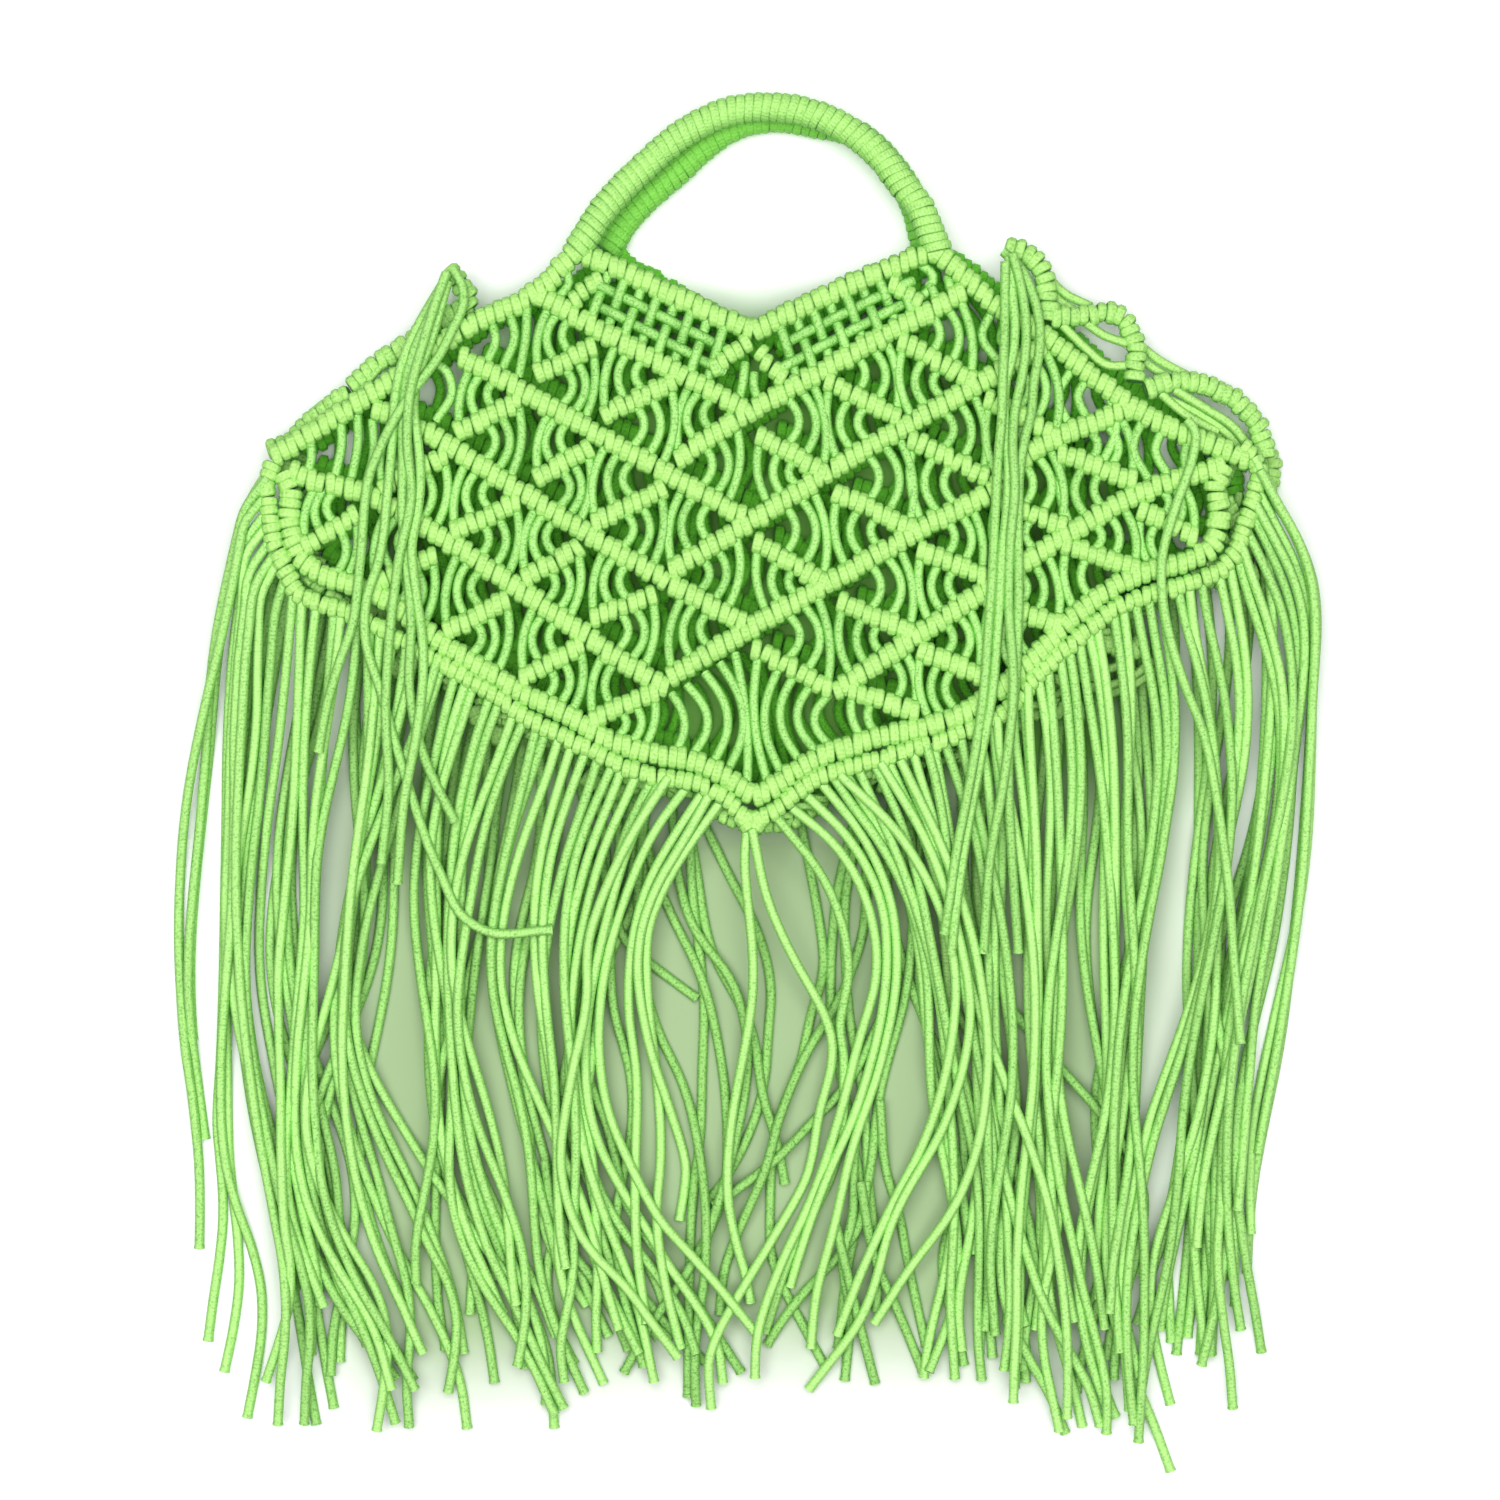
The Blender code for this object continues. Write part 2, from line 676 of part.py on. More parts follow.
def tassel(strands, work):
    """Loose strands from an ear of the gusset, laid over the front panel, with the knot that they leave."""
    section = section_curve(TASSEL_WIDTH, TASSEL_THICKNESS, 1.0, work)
    pieces = []
    for number, rows in enumerate(strands):
        route = smooth_path([(u * NET_HALF_WIDTH, v * NET_HEIGHT) for u, v in rows], TASSEL_STEPS)
        lift = TASSEL_THICKNESS / 2 + PIECE_GAP + LOCK_LIFT * (1 + 2 * number)
        pieces.append(swept([(p.x, p.y, resting_height(p.x, p.y) + lift) for p in route], section, work))
    start = Vector((strands[0][0][0] * NET_HALF_WIDTH, strands[0][0][1] * NET_HEIGHT))
    low = resting_height(*start) + PIECE_GAP
    build = bmesh.new()
    rings = KNOT_SIDES // 2 + 1
    bmesh.ops.create_uvsphere(build, u_segments=KNOT_SIDES, v_segments=rings, radius=EAR_KNOT / 2)
    bmesh.ops.translate(build, verts=build.verts, vec=(start.x, start.y, low + EAR_KNOT / 2))
    knot = bpy.data.meshes.new("knot")
    build.to_mesh(knot)
    build.free()
    return fused(knot, pieces)


def add_gusset(bag):
    strip = keep_mesh("gusset", gusset(), bag)
    wall = strip.modifiers.new("wall", "SOLIDIFY")
    wall.thickness = GUSSET_WALL
    wall.offset = 0.0
    wall.use_rim = True


def centre_on_surface(bag):
    """Puts the middle of the bag over the origin, through the empty that carries every piece."""
    carrier = bpy.data.objects.new("bag", None)
    bag.objects.link(carrier)
    bpy.context.view_layer.update()
    graph = bpy.context.evaluated_depsgraph_get()
    pieces = [item for item in bag.objects if item.type == "MESH"]
    corners = np.array([corner[:] for item in pieces for corner in item.evaluated_get(graph).bound_box])
    low, high = corners.min(axis=0), corners.max(axis=0)
    for item in pieces:
        item.parent = carrier
    carrier.location = (-(low[0] + high[0]) / 2, -(low[1] + high[1]) / 2, 0.0)
    bpy.context.view_layer.update()


def main():
    remove_everything()
    bag = new_collection("fishnet_tote_bag")
    work = new_collection("guides")
    for panel, side in ((BACK, "back"), (FRONT, "front")):
        keep_mesh("net_" + side, net(panel, work), bag)
        keep_mesh("hem_" + side, hem(panel, work), bag)
        keep_mesh("handle_" + side, handle(panel, work), bag)
        keep_mesh("fringe_" + side, fringe(panel, work), bag)
    add_gusset(bag)
    keep_mesh("tassel_left", tassel(TASSEL_LEFT, work), bag)
    keep_mesh("tassel_right", tassel(TASSEL_RIGHT, work), bag)
    for guide in list(work.objects):
        bpy.data.objects.remove(guide)
    centre_on_surface(bag)


main()
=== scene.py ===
"""Looks of a knotted cord handbag with a long fringe, which lies on its back.

Run as a script. It loads the model's solids as a fixed frame, and lays real cord round them: rows of
hitches on the ribs, bowed cords between the ribs, wrapped handles, a zigzag gusset, and a fringe whose
strands lie on the floor and on each other.
"""

import itertools
import math

import bpy
import numpy as np
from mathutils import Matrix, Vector


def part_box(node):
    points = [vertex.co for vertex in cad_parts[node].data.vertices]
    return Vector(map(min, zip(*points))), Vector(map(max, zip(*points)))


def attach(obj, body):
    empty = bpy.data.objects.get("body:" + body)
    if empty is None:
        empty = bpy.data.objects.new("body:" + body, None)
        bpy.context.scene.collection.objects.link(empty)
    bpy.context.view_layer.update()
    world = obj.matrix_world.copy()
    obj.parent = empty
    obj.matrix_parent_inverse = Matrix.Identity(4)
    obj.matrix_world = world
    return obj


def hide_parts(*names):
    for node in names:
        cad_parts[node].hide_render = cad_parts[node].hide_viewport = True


bl_info = {
    "name": "Knotted cord handbag",
    "version": (1, 0, 0),
    "blender": (4, 5, 0),
    "location": "View3D > Sidebar > Handbag",
    "description": "Lays knotted green cord round the solids of a fringed handbag",
    "category": "Object",
}

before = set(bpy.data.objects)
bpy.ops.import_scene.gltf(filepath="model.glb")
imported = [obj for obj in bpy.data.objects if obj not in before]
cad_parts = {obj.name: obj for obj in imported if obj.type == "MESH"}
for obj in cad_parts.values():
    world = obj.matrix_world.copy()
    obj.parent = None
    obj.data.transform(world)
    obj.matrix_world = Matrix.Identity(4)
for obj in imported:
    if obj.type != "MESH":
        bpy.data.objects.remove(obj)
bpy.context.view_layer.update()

# Sizes that the solids give
RIB = 0.0082
HANDLE = 0.0125
FRONT_LOW, FRONT_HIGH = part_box("net_front")
BACK_LOW, BACK_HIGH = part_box("net_back")
GUSSET_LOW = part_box("gusset")[0]
TIP = np.array([(FRONT_LOW.x + FRONT_HIGH.x) / 2, FRONT_LOW.y + RIB / 2])
TIP_HEIGHT = FRONT_HIGH.z - RIB / 2
MOUTH_HEIGHT = FRONT_LOW.z + HANDLE / 2
BACK_HEIGHT = BACK_LOW.z + RIB / 2
BACK_SHIFT = np.array([(BACK_LOW.x + BACK_HIGH.x) / 2 - TIP[0], BACK_LOW.y - FRONT_LOW.y])

# The photograph's frame: its pixels are squares this large at the height of the front net's tip
PHOTO_MIDDLE = 750
PIXEL = 0.00041
TIP_PIXEL = np.array([752, 795])
PEAK_PIXEL_ROW = 250
NOTCH_PIXEL_ROW = 330
CAMERA_DISTANCE = 1.8
CAMERA_HEIGHT = TIP_HEIGHT + CAMERA_DISTANCE
CAMERA_SPOT = TIP + (PHOTO_MIDDLE - TIP_PIXEL) * PIXEL * (1, -1)
NET_HEIGHT = (TIP_PIXEL[1] - PEAK_PIXEL_ROW) * PIXEL
BACK_PEAK_INSET = 0.010  # how far the back net's peaks lean towards each other
BACK_PEAK_ACROSS = 0.074
MOUTH_DROP = 15  # pixels that the mouth of the back net lies lower

# Cord, and the steps in which paths follow ribs and cords
RIB_STEP = 0.002
CORD_STEP = 0.0022
CORD = 0.0038
NET_CORD = 0.0041
LACING_CORD = 0.0044
CUT_LENGTH = 0.8  # of a cut end, in cord radii, as its flare and its core are
CUT_FLARE = 1.16
CUT_CORE = 0.72
SHARP_FROM = math.radians(70)

# Wraps of a cord round a rib
WRAP = 0.0021  # half the thickness of a wrap
WRAP_SQUARE = 0.5  # how square a wrap's section is: 1 is round
WRAP_OVERLAP = 0.565
RING_STEPS = 12
RING_SQUARE = 0.8
RIB_WIDTH = RIB * 1.2
SHORT_RIB_WIDTH = RIB_WIDTH * 0.95
BAND_RIB_WIDTH = RIB_WIDTH * 0.88
SHORT_RIB_UNEVEN = 1.3
EDGE_UNEVEN = 1.2
HITCH_PITCH = 0.0039
HITCH_LEAN = math.radians(15)
HEM_WIDTH = 0.0084
HEM_HEIGHT = 0.0078
HEM_PITCH = 0.0037
HANDLE_PITCH = 0.00365
HANDLE_WRAP = 0.0017
HANDLE_SLANT = math.radians(-10)
HANDLE_COVER = 0.0022  # from the outside of the wraps to the core under them
HANDLE_LYING = 0.45  # share of its half span over which the front handle lies on the back one
HANDLE_CLIMB = 0.5  # and the share over which it climbs to its peak
BACK_HANDLE_LIT = 0.1  # painted shade: the back handle takes mostly the shaded side colour on top

# How far wraps differ at random: turn in radians, shift and size as shares, the others in metres
TURN_UNEVEN = 0.07
SHIFT_UNEVEN = 0.035
ASIDE_UNEVEN = 0.00026
LIFT_UNEVEN = 0.00014
WIDTH_UNEVEN = 0.065
HEIGHT_UNEVEN = 0.05
# Two wraps make a knot: how far the first differs from the second
PAIR_TURN = 0.04
PAIR_SHIFT = 0.03
PAIR_WIDTH = 0.04
PAIR_OVERLAP = 0.015

# Cords of the nets
CORD_RISE = 0.0005  # how far cords lie higher or lower at random
CORD_ARCH = (-0.0004, 0.0012)  # how far a cord's middle stands out
CORD_TUCK = 0.0018  # how deep its ends go under the ribs
CORD_INSET = 0.6  # share of a rib's half width from its middle to where cords come out
BOW_UNEVEN = (0.85, 1.15)
BOW_SHAPE = ((0.0, 0.0), (0.16, 0.5), (0.33, 0.88), (0.5, 1.0), (0.67, 0.88), (0.84, 0.5), (1.0, 0.0))

# The gusset's zigzag lies further out under the hem than under the top edges
GUSSET_OUT = RIB * 1.05
GUSSET_BULGE = 0.0075
GUSSET_BULGE_ENDS = (0.12, 0.88)  # where the strip's edges are on the half wave of the bulge
GUSSET_SPREADING = 0.11  # length over which it comes out
GUSSET_FOOT = RIB * 0.35
GUSSET_HEAD = RIB * 0.75
GUSSET_STEP = 0.0035
GUSSET_WIDTH = RIB_WIDTH * 0.95
GUSSET_THICKNESS = RIB * 0.9
GUSSET_LEAN = 0.5  # share of the nets' lean
GUSSET_RIB_LEVEL = 0.8  # shares of the height at which their pixels are read
GUSSET_CORD_LEVEL = 0.7
TOOTH_PITCH = 0.049
TOOTH_WIDTH = RIB * 0.9
TOOTH_HEIGHT = RIB * 0.7
TOOTH_ENDS = (0.04, 0.96)  # shares of the strip's width, as a cord's shortest reach is
TOOTH_CORDS = (0.3, 0.55, 0.8)  # shares of the tooth's length
TOOTH_CORD_REACH = 0.15
TOOTH_CORD_BOW = 0.0035

# The laced band under the mouth, in pixels and shares of its height
LACING_STEP = 16.5
LACING_SHARES = (0.36, 0.66)
LACING_LEAN = 9
LACING_INSET = 6
LACING_LIFT = LACING_CORD * 0.45

# The paper on the floor, with painted shadow under the fringe and the net, in metres and in cells of the
# ground
PAPER_HALF = 3.0
PAPER_CELLS = 150
PAPER_WHITE = (0.97, 0.97, 0.97, 1)
# Painted shadow under the fringe, and darker painted shadow under the net
PAPER_FRINGE_SHADOW = (0.335, 0.45, 0.25, 1)
PAPER_SHADE = (0.155, 0.37, 0.07, 1)
SHADOW_CLOSES = (40, 40)
FRINGE_SHADOW_INSET = (48, 10)
FRINGE_SHADOW_BLUR = (34, 26)
SHADE_INSET = (22, 14)
SHADE_BLUR = (24, 14)

# Lights: where they hang and how large they are
KEY_SPOT, KEY_SIZE = (-0.18, 0.12, 2.4), 2.0
FILL_SPOT, FILL_SIZE = (1.1, -0.3, 2.0), 1.6

# Strands of the fringe
STRAND = 0.0040
STRAND_TONES = {"front": (-1.0, 0.8), "back": (0.0, 1.3)}  # tone ranges: random, but the back strands, which lie under the rest, are darker as painted shade
GUIDE_STEPS = 22
GATHER = 0.65  # how far strands of a clump come together
BRIDGE_SLOPE = 0.22  # of a strand between the cords that it lies on
STRAND_STEP = 0.0045
STRAND_SINK = 0.0004  # into the cords under it
GUIDE_SPACING = 12.0  # pixels, as is the next
SINGLE_SPACING = 25.0
TASSEL_STEP = 0.004
TASSEL_HEIGHT = MOUTH_HEIGHT + RIB / 2 + 0.002  # at which its pixels are read
FRONT_FALL = (0.075, 0.105)  # lengths from the hem down to the floor
LOOSE_FALL = 0.09
BACK_FALL = 0.04
STRAY = 16.0  # pixels that strands stray from their guides
# Shares of that stray, by clump and then by strand
CLUMP_SWING = 1.15
OWN_DRIFT = 0.55
OWN_WAVE = 0.85
LONER_STRAY = 3
END_STRAY = 0.9
EDGE_STRAY = 0.4
CLUMP_WAVES = (0.7, 1.7)
OWN_WAVES = (0.9, 2.0)
LONER_CHANCE = 0.2
LONGEST_TRIM = 0.2

# Places in the photograph, as pixels across and down. Left and right are as the viewer sees them.
BORDER_LEFT = [
    (752, 797), (724, 776), (698, 763), (671, 757), (631, 748), (595, 733), (561, 711), (526, 695),
    (490, 673), (452, 650), (422, 628), (379, 595), (352, 585), (319, 573), (301, 557), (292, 537),
    (289, 510), (290, 490), (284, 472),
]
BORDER_RIGHT = [
    (752, 797), (767, 791), (792, 773), (821, 756), (849, 746), (874, 738), (896, 733), (921, 728),
    (947, 720), (971, 709), (984, 700), (1034, 659), (1072, 618), (1116, 585), (1154, 570),
    (1190, 560), (1208, 550), (1218, 530), (1219, 509), (1217, 483), (1224, 465),
]
TOP_LEFT = [(272, 458), (340, 415), (400, 375), (470, 325), (540, 290), (575, 250)]
TOP_RIGHT = [(1248, 462), (1216, 446), (1170, 428), (1131, 406), (1102, 384), (1073, 360), (1046, 336),
             (1000, 308), (965, 278), (935, 250)]
HEM_LEFT = [
    (752, 822), (722, 796), (695, 782), (654, 776), (616, 763), (580, 743), (537, 724), (506, 703),
    (473, 681), (435, 660), (391, 635), (353, 614), (322, 604), (297, 592), (284, 566), (274, 540),
    (270, 512), (267, 486), (273, 462),
]
HEM_RIGHT = [
    (752, 822), (774, 811), (792, 796), (814, 780), (835, 771), (860, 764), (896, 754), (917, 747),
    (939, 741), (974, 728), (1001, 715), (1026, 688), (1052, 661), (1083, 634), (1103, 616),
    (1129, 602), (1167, 590), (1200, 580), (1224, 568), (1238, 546), (1248, 515), (1256, 487),
    (1257, 463), (1240, 446),
]

HEM_KNOT = [(741, 815), (752, 828), (763, 815)]

# Long ribs, from the border down to where they end past the middle
LONG_RIBS = {
    "mouth_left": [(575, 250), (620, 270), (680, 299), (752, 332)],
    "mouth_right": [(935, 250), (885, 270), (820, 299), (752, 332)],
    "first_left": [(537, 294), (600, 330), (680, 374), (745, 411)],
    "first_right": [(965, 291), (900, 327), (820, 372), (752, 411), (713, 436), (675, 462)],
    "second_left": [(459, 355), (530, 396), (620, 447), (700, 492), (745, 518)],
    "second_right": [(1045, 345), (1001, 370), (920, 418), (840, 465), (752, 521), (668, 572)],
    "third_left": [(373, 408), (425, 432), (510, 485), (600, 541), (668, 582), (745, 625)],
    "third_right": [(1131, 408), (1023, 458), (991, 490), (920, 529), (853, 569), (752, 627), (668, 678)],
    "fourth_left": [(290, 470), (312, 479), (361, 492), (425, 527), (510, 583), (600, 646), (668, 690)],
    "fourth_right": [(1225, 465), (1141, 493), (1080, 527), (1021, 565), (935, 624), (833, 693)],
}

# Short ribs by the ribs that they lie between, and how many cords bow over and under each
SHORT_RIBS = {
    # rib over and rib under: lower end, knob, cords over, cords under
    ("first_left", "second_left"): [((535, 376), (596, 345), 3, 3), ((601, 416), (675, 381), 3, 3)],
    ("second_left", "third_left"): [
        ((456, 434), (522, 399), 3, 3), ((535, 480), (591, 447), 3, 3), ((591, 524), (665, 488), 3, 3),
    ],
    ("third_left", "fourth_left"): [
        ((378, 489), (448, 455), 3, 3), ((451, 534), (520, 501), 3, 3), ((522, 580), (581, 546), 3, 3),
        ((590, 619), (656, 594), 3, 3),
    ],
    ("fourth_left", "border_left"): [
        ((302, 548), (359, 514), 3, 2), ((372, 586), (436, 554), 3, 3), ((443, 632), (510, 598), 3, 3),
        ((520, 680), (584, 644), 3, 3), ((589, 721), (658, 690), 2, 3),
    ],
    ("first_right", "second_right"): [
        ((827, 475), (756, 434), 3, 3), ((901, 419), (825, 381), 3, 3), ((975, 383), (899, 340), 3, 3),
    ],
    ("second_right", "third_right"): [
        ((827, 585), (754, 541), 3, 3), ((914, 531), (833, 490), 3, 3), ((988, 478), (909, 437), 3, 3),
        ((1060, 437), (985, 398), 3, 3),
    ],
    ("third_right", "border_right"): [((832, 690), (753, 647), 3, 0)],
    ("third_right", "fourth_right"): [
        ((914, 634), (838, 601), 3, 3), ((986, 577), (917, 549), 3, 3), ((1066, 527), (992, 499), 3, 3),
        ((1136, 482), (1058, 452), 3, 3),
    ],
    ("fourth_right", "border_right"): [
        ((919, 713), (848, 690), 2, 2), ((983, 677), (917, 649), 3, 3), ((1062, 628), (986, 597), 3, 3),
        ((1139, 570), (1062, 544), 3, 2), ((1197, 539), (1138, 508), 3, 2),
    ],
}
LACED_BAND_RIBS = [
    [(571, 303), (603, 277)], [(711, 370), (748, 340)], [(922, 304), (889, 281)], [(785, 382), (757, 350)],
]
# Ends of long ribs that pass the middle take cords over and under them like a short rib
PASSING_ENDS = {
    # rib over and rib under: lower end, knob, cords over, cords under
    ("first_left", "second_left"): [((675, 462), (740, 418), 3, 3)],
    ("second_left", "third_left"): [((668, 572), (740, 529), 3, 3)],
    ("third_left", "border_left"): [((668, 678), (740, 634), 3, 0)],
}

# Cords that bow over and under a short rib, longest first: where along the rib from its low end to its
# knob, pixels that the far end leans, and the bow as a share of the cord's length
CORDS_OVER = [(0.05, 11, 0.09), (0.32, 4, 0.20), (0.57, 0, 0.26)]
CORDS_UNDER = [(0.95, 9, 0.10), (0.68, 4, 0.20), (0.47, 4, 0.26)]
SHORTEST_BOW = 12
# Cords of the open diamond over the tip
DIAMOND_CORDS = [
    # upper end, lower end, bow to the right as a share of the length
    ((672, 694), (676, 751), 0.19), ((687, 685), (692, 755), 0.25), ((705, 673), (714, 761), 0.22),
    ((720, 663), (729, 768), 0.17), ((735, 653), (747, 786), 0.04), ((758, 656), (768, 783), -0.07),
    ((779, 668), (781, 772), -0.14), ((794, 676), (798, 758), -0.21), ((811, 685), (816, 751), -0.26),
    ((829, 695), (831, 746), -0.27),
]

# Single cords of the net, each through a few pixels
EDGE_CORDS = [
    [(509, 312), (515, 335), (503, 368)],
    [(527, 304), (526, 335), (519, 376)],
    [(493, 326), (496, 340), (487, 362)],
    [(562, 262), (569, 283), (556, 300)],
    [(425, 358), (447, 372), (452, 392), (436, 420)],
    [(405, 372), (415, 392), (408, 420)],
    [(340, 418), (342, 440), (334, 480)],
    [(357, 412), (358, 440), (350, 485)],
    [(372, 420), (374, 450), (364, 492)],
    [(310, 440), (312, 455), (306, 478)],
    [(993, 310), (982, 335), (1003, 366)],
    [(1010, 315), (1001, 340), (1019, 360)],
    [(1070, 372), (1058, 395), (1069, 425)],
    [(1088, 378), (1078, 395), (1088, 420)],
    [(1110, 395), (1116, 430), (1103, 462)],
    [(1145, 415), (1133, 448), (1149, 480)],
    [(1165, 425), (1155, 450), (1170, 478)],
    [(1188, 440), (1184, 460), (1192, 480)],
    [(745, 364), (743, 382), (740, 396)],
    [(754, 374), (754, 388), (759, 400)],
    [(921, 264), (933, 275), (931, 287), (920, 298)],
    [(929, 284), (934, 293), (937, 303)],
    [(948, 278), (950, 288), (953, 297)],
]

# Handles, from the left foot to the right one
FRONT_HANDLE = [
    (577, 252), (583, 243), (600, 215), (640, 170), (690, 128), (730, 110), (771, 106), (810, 112),
    (850, 130), (880, 155), (903, 186), (918, 205), (932, 238), (938, 252),
]
BACK_HANDLE = [
    (608, 252), (622, 226), (650, 195), (678, 171), (704, 146), (735, 126), (775, 118), (815, 124),
    (856, 134), (890, 164), (914, 204), (926, 248),
]

# The gusset where the photograph shows it past the top edges: rows of hitches, with heights as a
# share of the way from the floor up to the front net
GUSSET_RIBS = [
    # pixels, share of the height at the start, in the middle and at the end
    ([(1006, 247), (1027, 254), (1041, 270), (1046, 290), (1047, 322)], (0.75, 0.9, 0.95)),
    ([(1051, 318), (1070, 317), (1086, 316), (1103, 312), (1121, 317), (1131, 331), (1136, 350),
      (1133, 381)], (0.95, 0.7, 0.95)),
    ([(1145, 390), (1164, 383), (1183, 382), (1202, 383), (1220, 390), (1239, 402), (1253, 418),
      (1263, 437), (1267, 458)], (0.95, 0.6, 0.6)),
    ([(470, 302), (440, 322), (405, 344), (373, 367), (350, 388)], (0.7, 0.55, 0.7)),
    ([(350, 392), (325, 408), (300, 432), (268, 452)], (0.8, 0.5, 0.5)),
    ([(449, 268), (462, 286), (472, 308)], (0.75, 0.8, 0.8)),
    ([(1092, 618), (1100, 640), (1114, 644), (1130, 652), (1146, 640)], (0.75, 0.55, 0.6)),
    ([(1093, 645), (1095, 665), (1096, 690)], (0.6, 0.5, 0.4)),
    ([(1050, 700), (1068, 712), (1086, 712)], (0.4, 0.4, 0.4)),
    ([(1206, 577), (1234, 579), (1260, 572)], (0.6, 0.5, 0.5)),
    ([(866, 765), (882, 782), (902, 787), (922, 774)], (0.5, 0.4, 0.5)),
    ([(583, 775), (598, 788), (614, 792), (637, 784)], (0.5, 0.4, 0.5)),
    ([(472, 706), (484, 728), (498, 736), (516, 728)], (0.5, 0.4, 0.5)),
    ([(366, 640), (376, 660), (392, 668), (408, 660)], (0.5, 0.4, 0.5)),
]
GUSSET_CORDS = [
    # pixels, share of the height at both ends
    ([(1062, 326), (1086, 350), (1107, 366), (1128, 366)], (0.9, 0.9)),
    ([(1084, 322), (1102, 335), (1126, 344)], (0.8, 0.85)),
    ([(1160, 394), (1187, 416), (1218, 432)], (0.85, 0.7)),
    ([(1174, 390), (1204, 408), (1234, 428), (1250, 450)], (0.85, 0.75)),
    ([(1166, 398), (1200, 414), (1230, 436), (1246, 456)], (0.7, 0.6)),
    ([(1046, 272), (1062, 290), (1092, 306)], (0.45, 0.5)),
    ([(1046, 286), (1060, 300), (1082, 314)], (0.5, 0.5)),
    ([(1136, 340), (1158, 358), (1190, 376)], (0.45, 0.5)),
    ([(1134, 352), (1155, 368), (1180, 382)], (0.5, 0.5)),
    ([(394, 352), (375, 372), (362, 392)], (0.6, 0.8)),
    ([(344, 392), (322, 404), (300, 424)], (0.5, 0.5)),
    ([(1101, 671), (1123, 664), (1140, 652)], (0.5, 0.5)),
    ([(1103, 688), (1132, 677), (1155, 660)], (0.35, 0.35)),
    ([(1106, 696), (1134, 685), (1158, 670)], (0.25, 0.25)),
]

# Strands that lie over the front net, from the ears of the gusset and over the right edge
LEFT_TASSEL = [
    [(449, 270), (429, 304), (416, 329), (403, 362), (396, 393), (393, 434), (388, 495), (384, 533),
     (378, 566), (368, 597), (366, 640), (380, 690), (400, 760), (437, 870), (464, 920), (484, 932),
     (548, 931)],
    [(446, 276), (424, 329), (413, 355), (406, 383), (403, 418), (403, 470), (403, 520), (408, 572),
     (412, 622), (410, 690), (425, 760), (452, 818)],
    [(448, 282), (429, 347), (419, 373), (414, 403), (418, 439), (421, 475), (418, 515), (413, 546),
     (416, 584), (424, 650), (418, 730), (404, 800), (396, 880)],
    [(452, 268), (462, 285), (464, 301), (454, 327), (439, 357), (419, 385), (398, 416), (383, 444),
     (370, 475), (365, 508), (362, 546), (359, 584), (354, 622), (340, 662), (326, 708), (318, 748)],
    [(447, 274), (434, 312), (424, 345), (412, 392), (408, 440), (412, 500), (400, 560), (392, 620),
     (386, 700), (388, 790), (380, 860)],
]
RIGHT_TASSEL = [
    [(1004, 250), (1020, 265), (1032, 291), (1039, 320), (1039, 353), (1034, 381), (1031, 414),
     (1025, 437), (1020, 466), (1018, 513), (1018, 600), (1015, 680), (1008, 760), (1012, 850),
     (1020, 950)],
    [(1009, 256), (1013, 300), (1015, 329), (1013, 353), (1006, 381), (1004, 409), (1006, 437),
     (1008, 466), (1006, 513), (1001, 560), (998, 620), (992, 690), (980, 760), (966, 840), (957, 900),
     (952, 950)],
    [(1012, 254), (1020, 282), (1025, 312), (1026, 343), (1022, 376), (1015, 409), (1012, 442),
     (1014, 489), (1010, 536), (1008, 600), (1012, 690), (1003, 780), (990, 860), (985, 950)],
    [(1005, 262), (1004, 341), (1002, 381), (1001, 419), (998, 454), (996, 489), (994, 536),
     (990, 600), (982, 700), (968, 790), (955, 860), (945, 930)],
]
DRAPED_STRAND = [
    (1187, 420), (1195, 432), (1193, 454), (1183, 485), (1173, 513), (1166, 536), (1161, 560),
    (1162, 600), (1172, 645), (1188, 690), (1205, 731), (1218, 794), (1225, 850), (1234, 940),
    (1240, 1040),
]

